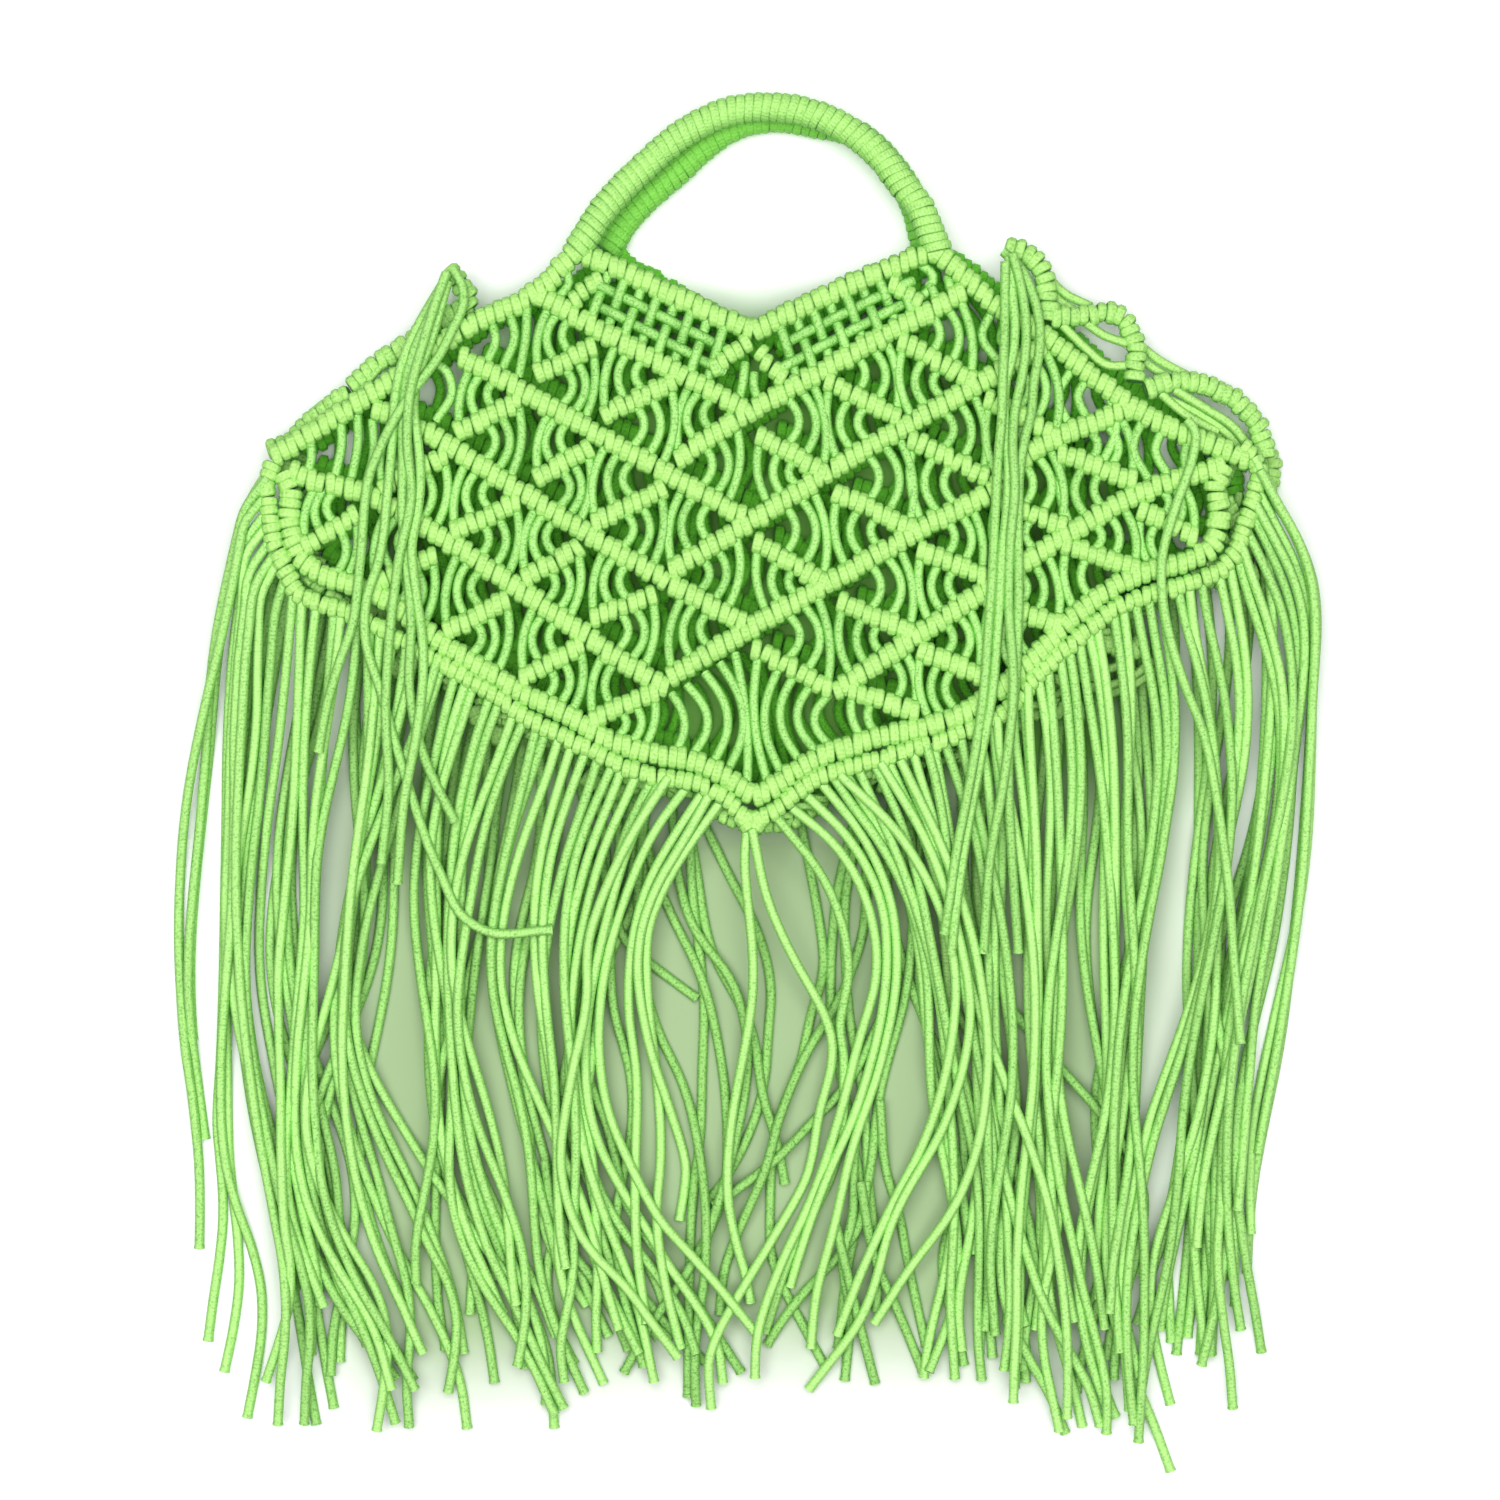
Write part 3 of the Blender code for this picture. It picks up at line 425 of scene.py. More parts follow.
# Strands that lead the front fringe, from the hem down. The strands between two of them lie between
FRINGE_GUIDES = [
    [(268, 484), (250, 502), (236, 560), (225, 620), (210, 700), (197, 800), (192, 900), (198, 1060),
     (210, 1168)],
    [(270, 520), (251, 538), (243, 600), (236, 680), (224, 800), (216, 960), (222, 1130), (240, 1280),
     (207, 1408)],
    [(279, 560), (264, 588), (257, 650), (256, 740), (248, 850), (240, 1000), (262, 1180), (300, 1320),
     (308, 1420)],
    [(310, 602), (300, 720), (290, 880), (285, 1040), (300, 1200), (345, 1330), (352, 1412)],
    [(353, 615), (350, 740), (330, 900), (322, 1060), (345, 1210), (390, 1330), (410, 1420)],
    [(430, 660), (400, 780), (375, 920), (372, 1080), (400, 1230), (440, 1330), (462, 1425)],
    [(506, 712), (480, 820), (470, 960), (480, 1100), (500, 1240), (520, 1340), (530, 1395)],
    [(589, 755), (560, 850), (545, 980), (550, 1110), (570, 1240), (600, 1340), (610, 1375)],
    [(640, 775), (600, 860), (575, 980), (590, 1110), (620, 1230), (650, 1320), (665, 1375)],
    [(700, 790), (650, 870), (608, 980), (612, 1100), (650, 1220), (690, 1310), (705, 1380)],
    [(742, 815), (690, 875), (640, 960), (622, 1060), (650, 1190), (710, 1290), (745, 1362)],
    [(762, 822), (810, 872), (855, 955), (866, 1060), (850, 1180), (815, 1262), (770, 1318)],
    [(802, 800), (850, 868), (885, 970), (895, 1100), (880, 1220), (862, 1310), (850, 1352)],
    [(838, 775), (880, 850), (915, 960), (925, 1100), (930, 1230), (925, 1330), (915, 1402)],
    [(894, 755), (930, 850), (955, 970), (960, 1100), (965, 1230), (975, 1340), (985, 1408)],
    [(975, 735), (990, 830), (1000, 960), (1010, 1100), (1020, 1240), (1030, 1340), (1040, 1430)],
    [(1052, 665), (1060, 780), (1060, 920), (1060, 1060), (1065, 1200), (1075, 1320), (1080, 1420)],
    [(1129, 603), (1145, 720), (1140, 860), (1125, 1010), (1115, 1160), (1115, 1300), (1155, 1470)],
    [(1192, 585), (1200, 680), (1195, 820), (1180, 980), (1165, 1130), (1155, 1280), (1150, 1400)],
    [(1235, 560), (1250, 660), (1245, 800), (1215, 960), (1190, 1120), (1180, 1280), (1190, 1400)],
    [(1250, 520), (1290, 620), (1290, 760), (1265, 920), (1230, 1100), (1220, 1260), (1235, 1410)],
    [(1257, 470), (1303, 560), (1308, 700), (1300, 860), (1275, 1020), (1245, 1180), (1240, 1310)],
]
# Strands of the front fringe that frame its parting, and one from the knot at the hem's tip
FRONT_LOOSE = [
    [(752, 828), (768, 900), (795, 960), (815, 995), (830, 1030), (831, 1063), (821, 1101), (804, 1183),
     (786, 1215), (748, 1277), (727, 1312), (710, 1350), (711, 1402)],
    [(724, 797), (700, 830), (668, 880), (650, 925), (648, 989), (657, 1077), (661, 1160), (657, 1209),
     (663, 1265), (680, 1341)],
    [(706, 788), (678, 830), (650, 880), (636, 925), (629, 1000), (637, 1077), (636, 1165), (638, 1253),
     (647, 1316)],
    [(690, 783), (655, 830), (628, 890), (610, 950), (600, 1033), (610, 1113), (633, 1165), (660, 1215),
     (698, 1259), (733, 1300), (756, 1330)],
    [(668, 778), (635, 830), (606, 890), (590, 940), (589, 995), (572, 1083), (563, 1165), (583, 1233),
     (627, 1283), (676, 1350)],
    [(712, 790), (684, 840), (655, 890), (640, 940), (648, 1036), (674, 1121), (686, 1165), (680, 1216)],
    [(792, 808), (835, 845), (866, 900), (876, 960), (856, 1048), (836, 1124), (815, 1189), (777, 1271),
     (757, 1330), (755, 1370)],
    [(806, 795), (850, 840), (880, 900), (886, 960), (880, 1019), (856, 1107), (824, 1183), (801, 1248),
     (791, 1282)],
    [(822, 784), (865, 840), (890, 900), (896, 960), (880, 1063), (853, 1142), (833, 1224), (815, 1297),
     (811, 1342)],
    [(840, 775), (895, 830), (935, 900), (953, 975), (950, 1033), (924, 1136), (883, 1218), (851, 1292),
     (838, 1328)],
    [(880, 762), (925, 840), (955, 930), (968, 1010), (942, 1124), (895, 1209), (862, 1312), (811, 1385)],
    [(900, 760), (942, 850), (975, 960), (985, 1060), (959, 1189), (903, 1274), (876, 1318)],
]
# Strands that lead the back fringe
BACK_GUIDES = [
    [(292, 470), (262, 600), (240, 780), (232, 960), (250, 1150), (290, 1300), (325, 1420)],
    [(340, 600), (320, 760), (312, 920), (318, 1080), (345, 1230), (372, 1370)],
    [(450, 655), (425, 800), (410, 950), (415, 1100), (440, 1250), (470, 1380)],
    [(530, 715), (520, 850), (500, 980), (510, 1110), (545, 1240), (590, 1360)],
    [(620, 765), (640, 870), (600, 980), (570, 1100), (610, 1230), (700, 1360)],
    [(700, 780), (720, 900), (690, 1010), (660, 1120), (700, 1230), (770, 1330)],
    [(775, 812), (762, 900), (765, 1010), (770, 1110), (745, 1200), (730, 1330)],
    [(830, 780), (800, 900), (815, 1010), (840, 1110), (820, 1230), (790, 1370)],
    [(900, 760), (880, 880), (900, 1000), (930, 1110), (940, 1230), (920, 1360)],
    [(1000, 730), (980, 860), (985, 1000), (1000, 1110), (1010, 1240), (1000, 1380)],
    [(1090, 655), (1100, 800), (1090, 960), (1080, 1110), (1090, 1250), (1100, 1390)],
    [(1180, 600), (1180, 760), (1165, 930), (1150, 1090), (1150, 1240), (1165, 1380)],
    [(1262, 540), (1270, 680), (1255, 850), (1225, 1020), (1205, 1190), (1210, 1350)],
]
# Strands of the back fringe that cross the parting in curls of their own, where few others hang
PARTING = (655, 850)
PARTING_SKIPS = {"front": 0.55, "back": 0.9}  # share of the other strands that are left out there
PARTING_STRANDS = [
    [(700, 815), (732, 881), (758, 932), (771, 989), (768, 1033), (765, 1077), (748, 1136), (730, 1171),
     (707, 1203)],
    [(799, 812), (812, 881), (821, 934), (823, 974), (812, 1010), (801, 1060), (777, 1124), (770, 1209),
     (771, 1253), (801, 1321), (825, 1366)],
    [(686, 812), (694, 854), (716, 960), (733, 992), (751, 1027), (762, 1092), (779, 1151), (784, 1179)],
    [(690, 812), (691, 870), (694, 907), (704, 998), (702, 1077), (701, 1124), (692, 1209), (689, 1297),
     (688, 1392)],
    [(640, 800), (651, 862), (673, 918), (701, 975), (718, 1042), (727, 1124), (723, 1195), (689, 1268),
     (648, 1327), (626, 1368)],
    [(600, 850), (612, 905), (624, 938), (654, 966), (694, 996)],
    [(880, 1020), (862, 1058), (845, 1086), (809, 1124), (780, 1154), (748, 1180), (717, 1202)],
    [(672, 808), (676, 860), (690, 920), (736, 989), (748, 1057), (739, 1124), (722, 1189), (706, 1240)],
    [(868, 800), (866, 870), (863, 932), (842, 992), (804, 1057), (777, 1124), (766, 1165), (745, 1215),
     (724, 1270), (720, 1310)],
    [(640, 780), (622, 850), (612, 930), (613, 1001), (632, 1086), (632, 1124), (616, 1224), (622, 1283),
     (643, 1360)],
    [(650, 790), (640, 860), (640, 950), (654, 1019), (686, 1092), (701, 1160), (706, 1260), (695, 1350),
     (696, 1400)],
    [(900, 770), (912, 850), (912, 930), (906, 989), (880, 1092), (868, 1180), (850, 1253), (838, 1344)],
    [(600, 780), (575, 860), (566, 950), (578, 1045), (607, 1124), (630, 1209), (690, 1290), (739, 1368)],
    [(866, 1180), (862, 1218), (839, 1253), (789, 1309), (769, 1341)],
    [(860, 1100), (853, 1165), (853, 1212), (842, 1253), (850, 1312), (845, 1376)],
    [(880, 1100), (886, 1171), (900, 1218), (906, 1253), (925, 1342)],
    [(860, 1180), (877, 1265), (892, 1297), (921, 1367)],
    [(835, 1220), (853, 1297), (874, 1379)],
    [(545, 1160), (560, 1233), (586, 1268), (607, 1300), (627, 1346)],
]


def at_pixel(pixel, height):
    """The place at a height that shows at a pixel of the photograph."""
    stretch = PIXEL * (CAMERA_HEIGHT - height) / CAMERA_DISTANCE
    across = CAMERA_SPOT[0] + (pixel[0] - PHOTO_MIDDLE) * stretch
    up = CAMERA_SPOT[1] - (pixel[1] - PHOTO_MIDDLE) * stretch
    return np.array([across, up, height])


def front_height(up):
    """Height of the middle of the front net, which sinks from its tip to its mouth."""
    share = np.clip((up - TIP[1]) / NET_HEIGHT, -0.1, 1.1)
    return TIP_HEIGHT + (MOUTH_HEIGHT - TIP_HEIGHT) * share


def on_front(pixels):
    """Places on the middle of the front net."""
    return np.array(
        [at_pixel(pixel, front_height(TIP[1] + (TIP_PIXEL[1] - pixel[1]) * PIXEL)) for pixel in pixels]
    )


def on_back(pixels):
    """Places on the back net, which has slid aside and leans its peaks inwards."""
    places = on_front(pixels)
    notch_up = TIP[1] + (TIP_PIXEL[1] - NOTCH_PIXEL_ROW) * PIXEL
    peak_up = TIP[1] + NET_HEIGHT
    across = places[:, 0] - TIP[0]
    rise = np.clip((places[:, 1] - notch_up) / (peak_up - notch_up), 0, 1)
    reach = np.abs(across) / BACK_PEAK_ACROSS
    near = np.clip(reach, 0, 1) * np.clip(2 - reach, 0, 1)
    places[:, 0] += BACK_SHIFT[0] - np.sign(across) * BACK_PEAK_INSET * rise * near
    places[:, 1] += BACK_SHIFT[1]
    places[:, 2] = BACK_HEIGHT
    return places


def smooth_share(share):
    """A share from 0 to 1 that starts and ends gently."""
    share = np.clip(share, 0.0, 1.0)
    return share * share * (3 - 2 * share)


def round_turns(count):
    """So many equal turns round a circle."""
    return np.arange(count) / count * 2 * math.pi


def squared(values, power):
    """Sines or cosines of a circle, pushed out towards a square."""
    return np.sign(values) * np.abs(values) ** power


def lengths_along(path):
    """How far along a path each of its places is."""
    steps = np.linalg.norm(np.diff(path, axis=0), axis=1)
    return np.concatenate([[0.0], np.cumsum(steps)])


def evenly(path, count):
    """So many places spaced evenly along a path."""
    lengths = lengths_along(path)
    spots = np.linspace(0, lengths[-1], count)
    return np.stack([np.interp(spots, lengths, path[:, axis]) for axis in range(3)], axis=1)


def smooth_path(points, spacing):
    """A smooth path through a few points, with places about this far apart."""
    path = points = np.asarray(points, float)
    if len(points) > 2:
        knots = lengths_along(points)
        slopes = np.gradient(points, knots, axis=0)
        parts = []
        for i, span in enumerate(np.diff(knots)):
            t = np.linspace(0, 1, max(3, int(span / spacing) + 1), endpoint=False)[:, None]
            parts.append(
                points[i] * (1 + 2 * t) * (1 - t) ** 2
                + slopes[i] * span * t * (1 - t) ** 2
                + points[i + 1] * t * t * (3 - 2 * t)
                + slopes[i + 1] * span * t * t * (t - 1)
            )
        path = np.concatenate(parts + [points[-1:]])
    return evenly(path, max(3, int(round(lengths_along(path)[-1] / spacing)) + 1))


def smooth_route(pixels, spacing):
    """A smooth path through a few pixels, flat at no height."""
    return smooth_path(np.column_stack([np.array(pixels, float), np.zeros(len(pixels))]), spacing)


def frames_along(path):
    """The way along a path, the way to its side and the way up from it, at each place."""
    ways = np.gradient(path, axis=0)
    ways /= np.linalg.norm(ways, axis=1)[:, None]
    sides = np.cross([0.0, 0.0, 1.0], ways)
    sides /= np.maximum(np.linalg.norm(sides, axis=1), 1e-6)[:, None]
    return ways, sides, np.cross(ways, sides)


class CordWork:
    """Gathers cords into one mesh, with a length along and a turn round each cord for its plait."""

    def __init__(self, seed, outside=1):
        self.random = np.random.default_rng(seed)
        self.outside = outside  # painted light: 1 paints the upper side lighter and the lower one in shade, -1 the other way round
        self.corners, self.faces, self.plait, self.tones = [], [], [], []
        self.cuts, self.creases, self.lit_up = [], [], []
        self.count = 0

    def add(self, grids, is_ring, tones, cuts=0.0, creases=0.0):
        """Grids of corners, one a cord: places along it, places round it, three coordinates."""
        cords, rows, sides, _ = grids.shape
        index = np.arange(cords * rows * sides).reshape(cords, rows, sides) + self.count
        last = rows if is_ring else rows - 1
        here, following = index[:, :last], np.roll(index, -1, axis=1)[:, :last]
        quads = [here, np.roll(here, -1, axis=2), np.roll(following, -1, axis=2), following]
        self.faces.append(np.stack(quads, axis=-1).reshape(-1, 4))
        steps = np.linalg.norm(np.diff(grids.mean(axis=2), axis=1), axis=2)
        along = np.concatenate([np.zeros((cords, 1)), np.cumsum(steps, axis=1)], axis=1)
        if is_ring:
            along = np.concatenate([along, along[:, -1:] + steps[:, :1]], axis=1)
        start = self.random.random(cords)[:, None]
        low = np.broadcast_to((along[:, :last] + start)[:, :, None], (cords, last, sides))
        high = np.broadcast_to((along[:, 1 : last + 1] + start)[:, :, None], (cords, last, sides))
        turn = np.broadcast_to(np.arange(sides) / sides, (cords, last, sides))
        after = turn + 1 / sides
        uv = np.stack([low, turn, low, after, high, after, high, turn], axis=-1)
        self.plait.append(uv.reshape(-1, 2))
        if not is_ring:
            for row, flip in ((0, True), (rows - 1, False)):
                for k in range((sides - 2) // 2):
                    spots = [0, 2 * k + 1, 2 * k + 2, 2 * k + 3]
                    cap = index[:, row, spots[::-1] if flip else spots]
                    self.faces.append(cap)
                    self.plait.append(np.zeros((cords * 4, 2)))
        # Painted light: how far each corner faces up, times outside. The shader paints corners that face up
        # in the lit colour and the others in painted shade
        out = grids - grids.mean(axis=2, keepdims=True)
        upward = out[..., 2] / np.maximum(np.linalg.norm(out, axis=3), 1e-9) * self.outside
        self.lit_up.append(upward.ravel())
        self.corners.append(grids.reshape(-1, 3))
        self.tones.append(np.repeat(tones, rows * sides))
        self.cuts.append(np.broadcast_to(cuts, (cords, rows, sides)).ravel())
        self.creases.append(np.broadcast_to(creases, (cords, rows, sides)).ravel())
        self.count += cords * rows * sides

    def tube(self, path, radius, sides=8, tone=None, cut_end=False):
        """A round cord along a path. A cut end is a little flared, with its core showing."""
        ways, across, upward = frames_along(path)
        thickness = np.full(len(path), radius)
        cuts = np.zeros(len(path))
        if cut_end:
            tip = path[-1] + ways[-1] * radius * CUT_LENGTH
            path = np.concatenate([path, [tip, tip]])
            across = np.concatenate([across, across[-1:], across[-1:]])
            upward = np.concatenate([upward, upward[-1:], upward[-1:]])
            flare = radius * CUT_FLARE
            thickness = np.concatenate([thickness, [flare, flare * CUT_CORE]])
            cuts = np.concatenate([cuts, [0.0, 1.0]])
        turns = round_turns(sides)
        round_it = (
            across[:, None] * np.cos(turns)[None, :, None] + upward[:, None] * np.sin(turns)[None, :, None]
        )
        grid = path[:, None] + round_it * thickness[:, None, None]
        tone = self.random.random() if tone is None else tone
        self.add(grid[None], False, np.array([tone]), cuts=cuts[:, None])

    def hitches(self, path, width, height, pitch, lean=0.0, uneven=1.0, thickness=WRAP, pairs=True, sides=8,
                slant=0.0, round_ends=0.6):
        """A row of fat wraps round a rib, turned more upright where it slopes. Wraps come in pairs, each a
        knot, and none is quite like the next."""
        length = lengths_along(path)[-1]
        count = max(2, int(round(length / pitch)))
        fine = evenly(path, count * 4 + 1)
        spots = np.arange(count) * 4 + 2
        ways, across, upward = (part[spots] for part in frames_along(fine))
        draw = self.random.normal
        pair = np.where(np.arange(count) % 2 == 0, 1.0, -1.0) * (1.0 if pairs else 0.0)
        slants = -lean * 2 * ways[:, 0] * ways[:, 1] + draw(0, TURN_UNEVEN * uneven, count)
        slants = slants + pair * PAIR_TURN + slant
        shifts = (pair * PAIR_SHIFT + draw(0, SHIFT_UNEVEN * uneven, count)) * pitch
        middle = fine[spots] + ways * shifts[:, None]
        middle = middle + across * draw(0, ASIDE_UNEVEN * uneven, count)[:, None]
        middle = middle + upward * draw(0, LIFT_UNEVEN * uneven, count)[:, None]
        facing = ways * np.cos(slants)[:, None] + across * np.sin(slants)[:, None]
        aside = across * np.cos(slants)[:, None] - ways * np.sin(slants)[:, None]
        growth = 1 + draw(0, WIDTH_UNEVEN * uneven, count) + pair * PAIR_WIDTH
        half_width = (width / 2 - thickness) * growth
        half_height = (height / 2 - thickness) * (1 + draw(0, HEIGHT_UNEVEN * uneven, count))
        half_pitch = pitch * (WRAP_OVERLAP + PAIR_OVERLAP * pair)
        turns = round_turns(RING_STEPS)
        flat, steep = squared(np.cos(turns), RING_SQUARE), squared(np.sin(turns), RING_SQUARE)
        wide, tall = aside * half_width[:, None], upward * half_height[:, None]
        line = middle[:, None] + flat[:, None] * wide[:, None] + steep[:, None] * tall[:, None]
        outward = (
            np.cos(turns)[:, None] * (aside * half_height[:, None])[:, None]
            + np.sin(turns)[:, None] * (upward * half_width[:, None])[:, None]
        )
        outward /= np.maximum(np.linalg.norm(outward, axis=2), 1e-9)[:, :, None]
        angles = (np.arange(sides) + 0.5) / sides * 2 * math.pi
        rounding = WRAP_SQUARE + (1 - WRAP_SQUARE) * round_ends * np.cos(turns)[:, None] ** 2
        rise = squared(np.cos(angles), rounding) * thickness
        spread = -squared(np.sin(angles), rounding)
        grid = (
            line[:, :, None]
            + outward[:, :, None] * rise[:, :, None]
            + (facing * half_pitch[:, None])[:, None, None] * spread[:, :, None]
        )
        # Crease: how near each corner lies to the groove between wraps, where the shader paints shade
        self.add(grid, True, self.random.random(count), creases=np.abs(np.sin(angles)))

    def piece(self, name, material, node, slot):
        """The finished mesh as a piece that stands for a node."""
        mesh = bpy.data.meshes.new(name)
        corners, faces = np.concatenate(self.corners), np.concatenate(self.faces)
        mesh.vertices.add(len(corners))
        mesh.vertices.foreach_set("co", corners.astype(np.float32).ravel())
        mesh.loops.add(faces.size)
        mesh.loops.foreach_set("vertex_index", faces.astype(np.int32).ravel())
        mesh.polygons.add(len(faces))
        mesh.polygons.foreach_set("loop_start", np.arange(0, faces.size, 4, dtype=np.int32))
        mesh.polygons.foreach_set("use_smooth", np.ones(len(faces), bool))
        layer = mesh.uv_layers.new(name="plait")
        layer.data.foreach_set("uv", np.concatenate(self.plait).astype(np.float32).ravel())
        for label, values in (
            ("tone", self.tones), ("cut", self.cuts), ("crease", self.creases), ("lit_up", self.lit_up),
        ):
            attribute = mesh.attributes.new(label, "FLOAT", "POINT")
            attribute.data.foreach_set("value", np.concatenate(values).astype(np.float32))
        mesh.update(calc_edges=True)
        mesh.set_sharp_from_angle(angle=SHARP_FROM)
        mesh.materials.append(material)
        piece = bpy.data.objects.new(name, mesh)
        bpy.context.scene.collection.objects.link(piece)
        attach(piece, "root")
        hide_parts(node)


class Ground:
    """Heights of what already lies there, on a fine grid, so that the next cord lies on it."""

    CELL = 0.001
    LOW = np.array([-0.28, -0.34])
    HIGH = np.array([0.28, 0.32])

    def __init__(self):
        size = np.ceil((self.HIGH - self.LOW) / self.CELL).astype(int)
        self.heights = np.zeros(size)
        self.fringed = np.zeros(size, bool)

    def cells(self, places, radius):
        """Cells under a round cord at each place, and how far its skin there is from its middle's height."""
        reach = int(math.ceil(radius / self.CELL))
        steps = np.arange(-reach, reach + 1)
        dx, dy = (grid.ravel() for grid in np.meshgrid(steps, steps))
        apart = np.hypot(dx, dy) * self.CELL
        near = apart < radius
        dx, dy, apart = dx[near], dy[near], apart[near]
        base = np.floor((places[:, :2] - self.LOW) / self.CELL).astype(int)
        rows = np.clip(base[:, :1] + dx, 0, self.heights.shape[0] - 1)
        columns = np.clip(base[:, 1:2] + dy, 0, self.heights.shape[1] - 1)
        return rows, columns, np.sqrt(radius**2 - apart**2)

    def rest(self, places, radius):
        """How high the middle of a cord has to be at each place to lie on what is there."""
        rows, columns, dome = self.cells(places, radius)
        return (self.heights[rows, columns] + dome[None, :]).max(axis=1)

    def take(self, places, radius):
        """Adds a cord that has been laid."""
        rows, columns, dome = self.cells(places, radius)
        np.maximum.at(self.heights, (rows, columns), places[:, 2:3] + dome[None, :])

    def take_path(self, path, radius):
        """Adds a cord or a rib along a path of few places."""
        self.take(evenly(path, int(lengths_along(path)[-1] / self.CELL)), radius)

    def lay(self, places, radius, held=None):
        """A path moved up to where a fairly stiff cord comes to lie; held is how high it is kept up."""
        need = self.rest(places, radius)
        if held is not None:
            need = np.maximum(need, held)
        lengths = lengths_along(np.column_stack([places[:, :2], np.zeros(len(places))]))
        apart = np.abs(lengths[:, None] - lengths[None, :])
        line = (need[None, :] - BRIDGE_SLOPE * apart).max(axis=1)
        for _ in range(2):
            line[1:-1] = (line[:-2] + 2 * line[1:-1] + line[2:]) / 4
        line = np.maximum(line, need - STRAND_SINK)
        laid = np.column_stack([places[:, :2], line])
        self.take(evenly(laid, int(lengths[-1] / self.CELL) + 2), radius)
        return laid


GROUND = Ground()


def fill_sockets(links, pairs):
    """Gives each socket its value, or links it where the value is another node's output."""
    for socket, value in pairs:
        if isinstance(value, bpy.types.NodeSocket):
            links.new(value, socket)
        else:
            socket.default_value = value


def mixed(nodes, links, factor, first, second):
    """The colour between two others."""
    node = nodes.new("ShaderNodeMix")
    node.data_type = "RGBA"
    fill_sockets(links, ((node.inputs["Factor"], factor), (node.inputs[6], first), (node.inputs[7], second)))
    return node.outputs[2]


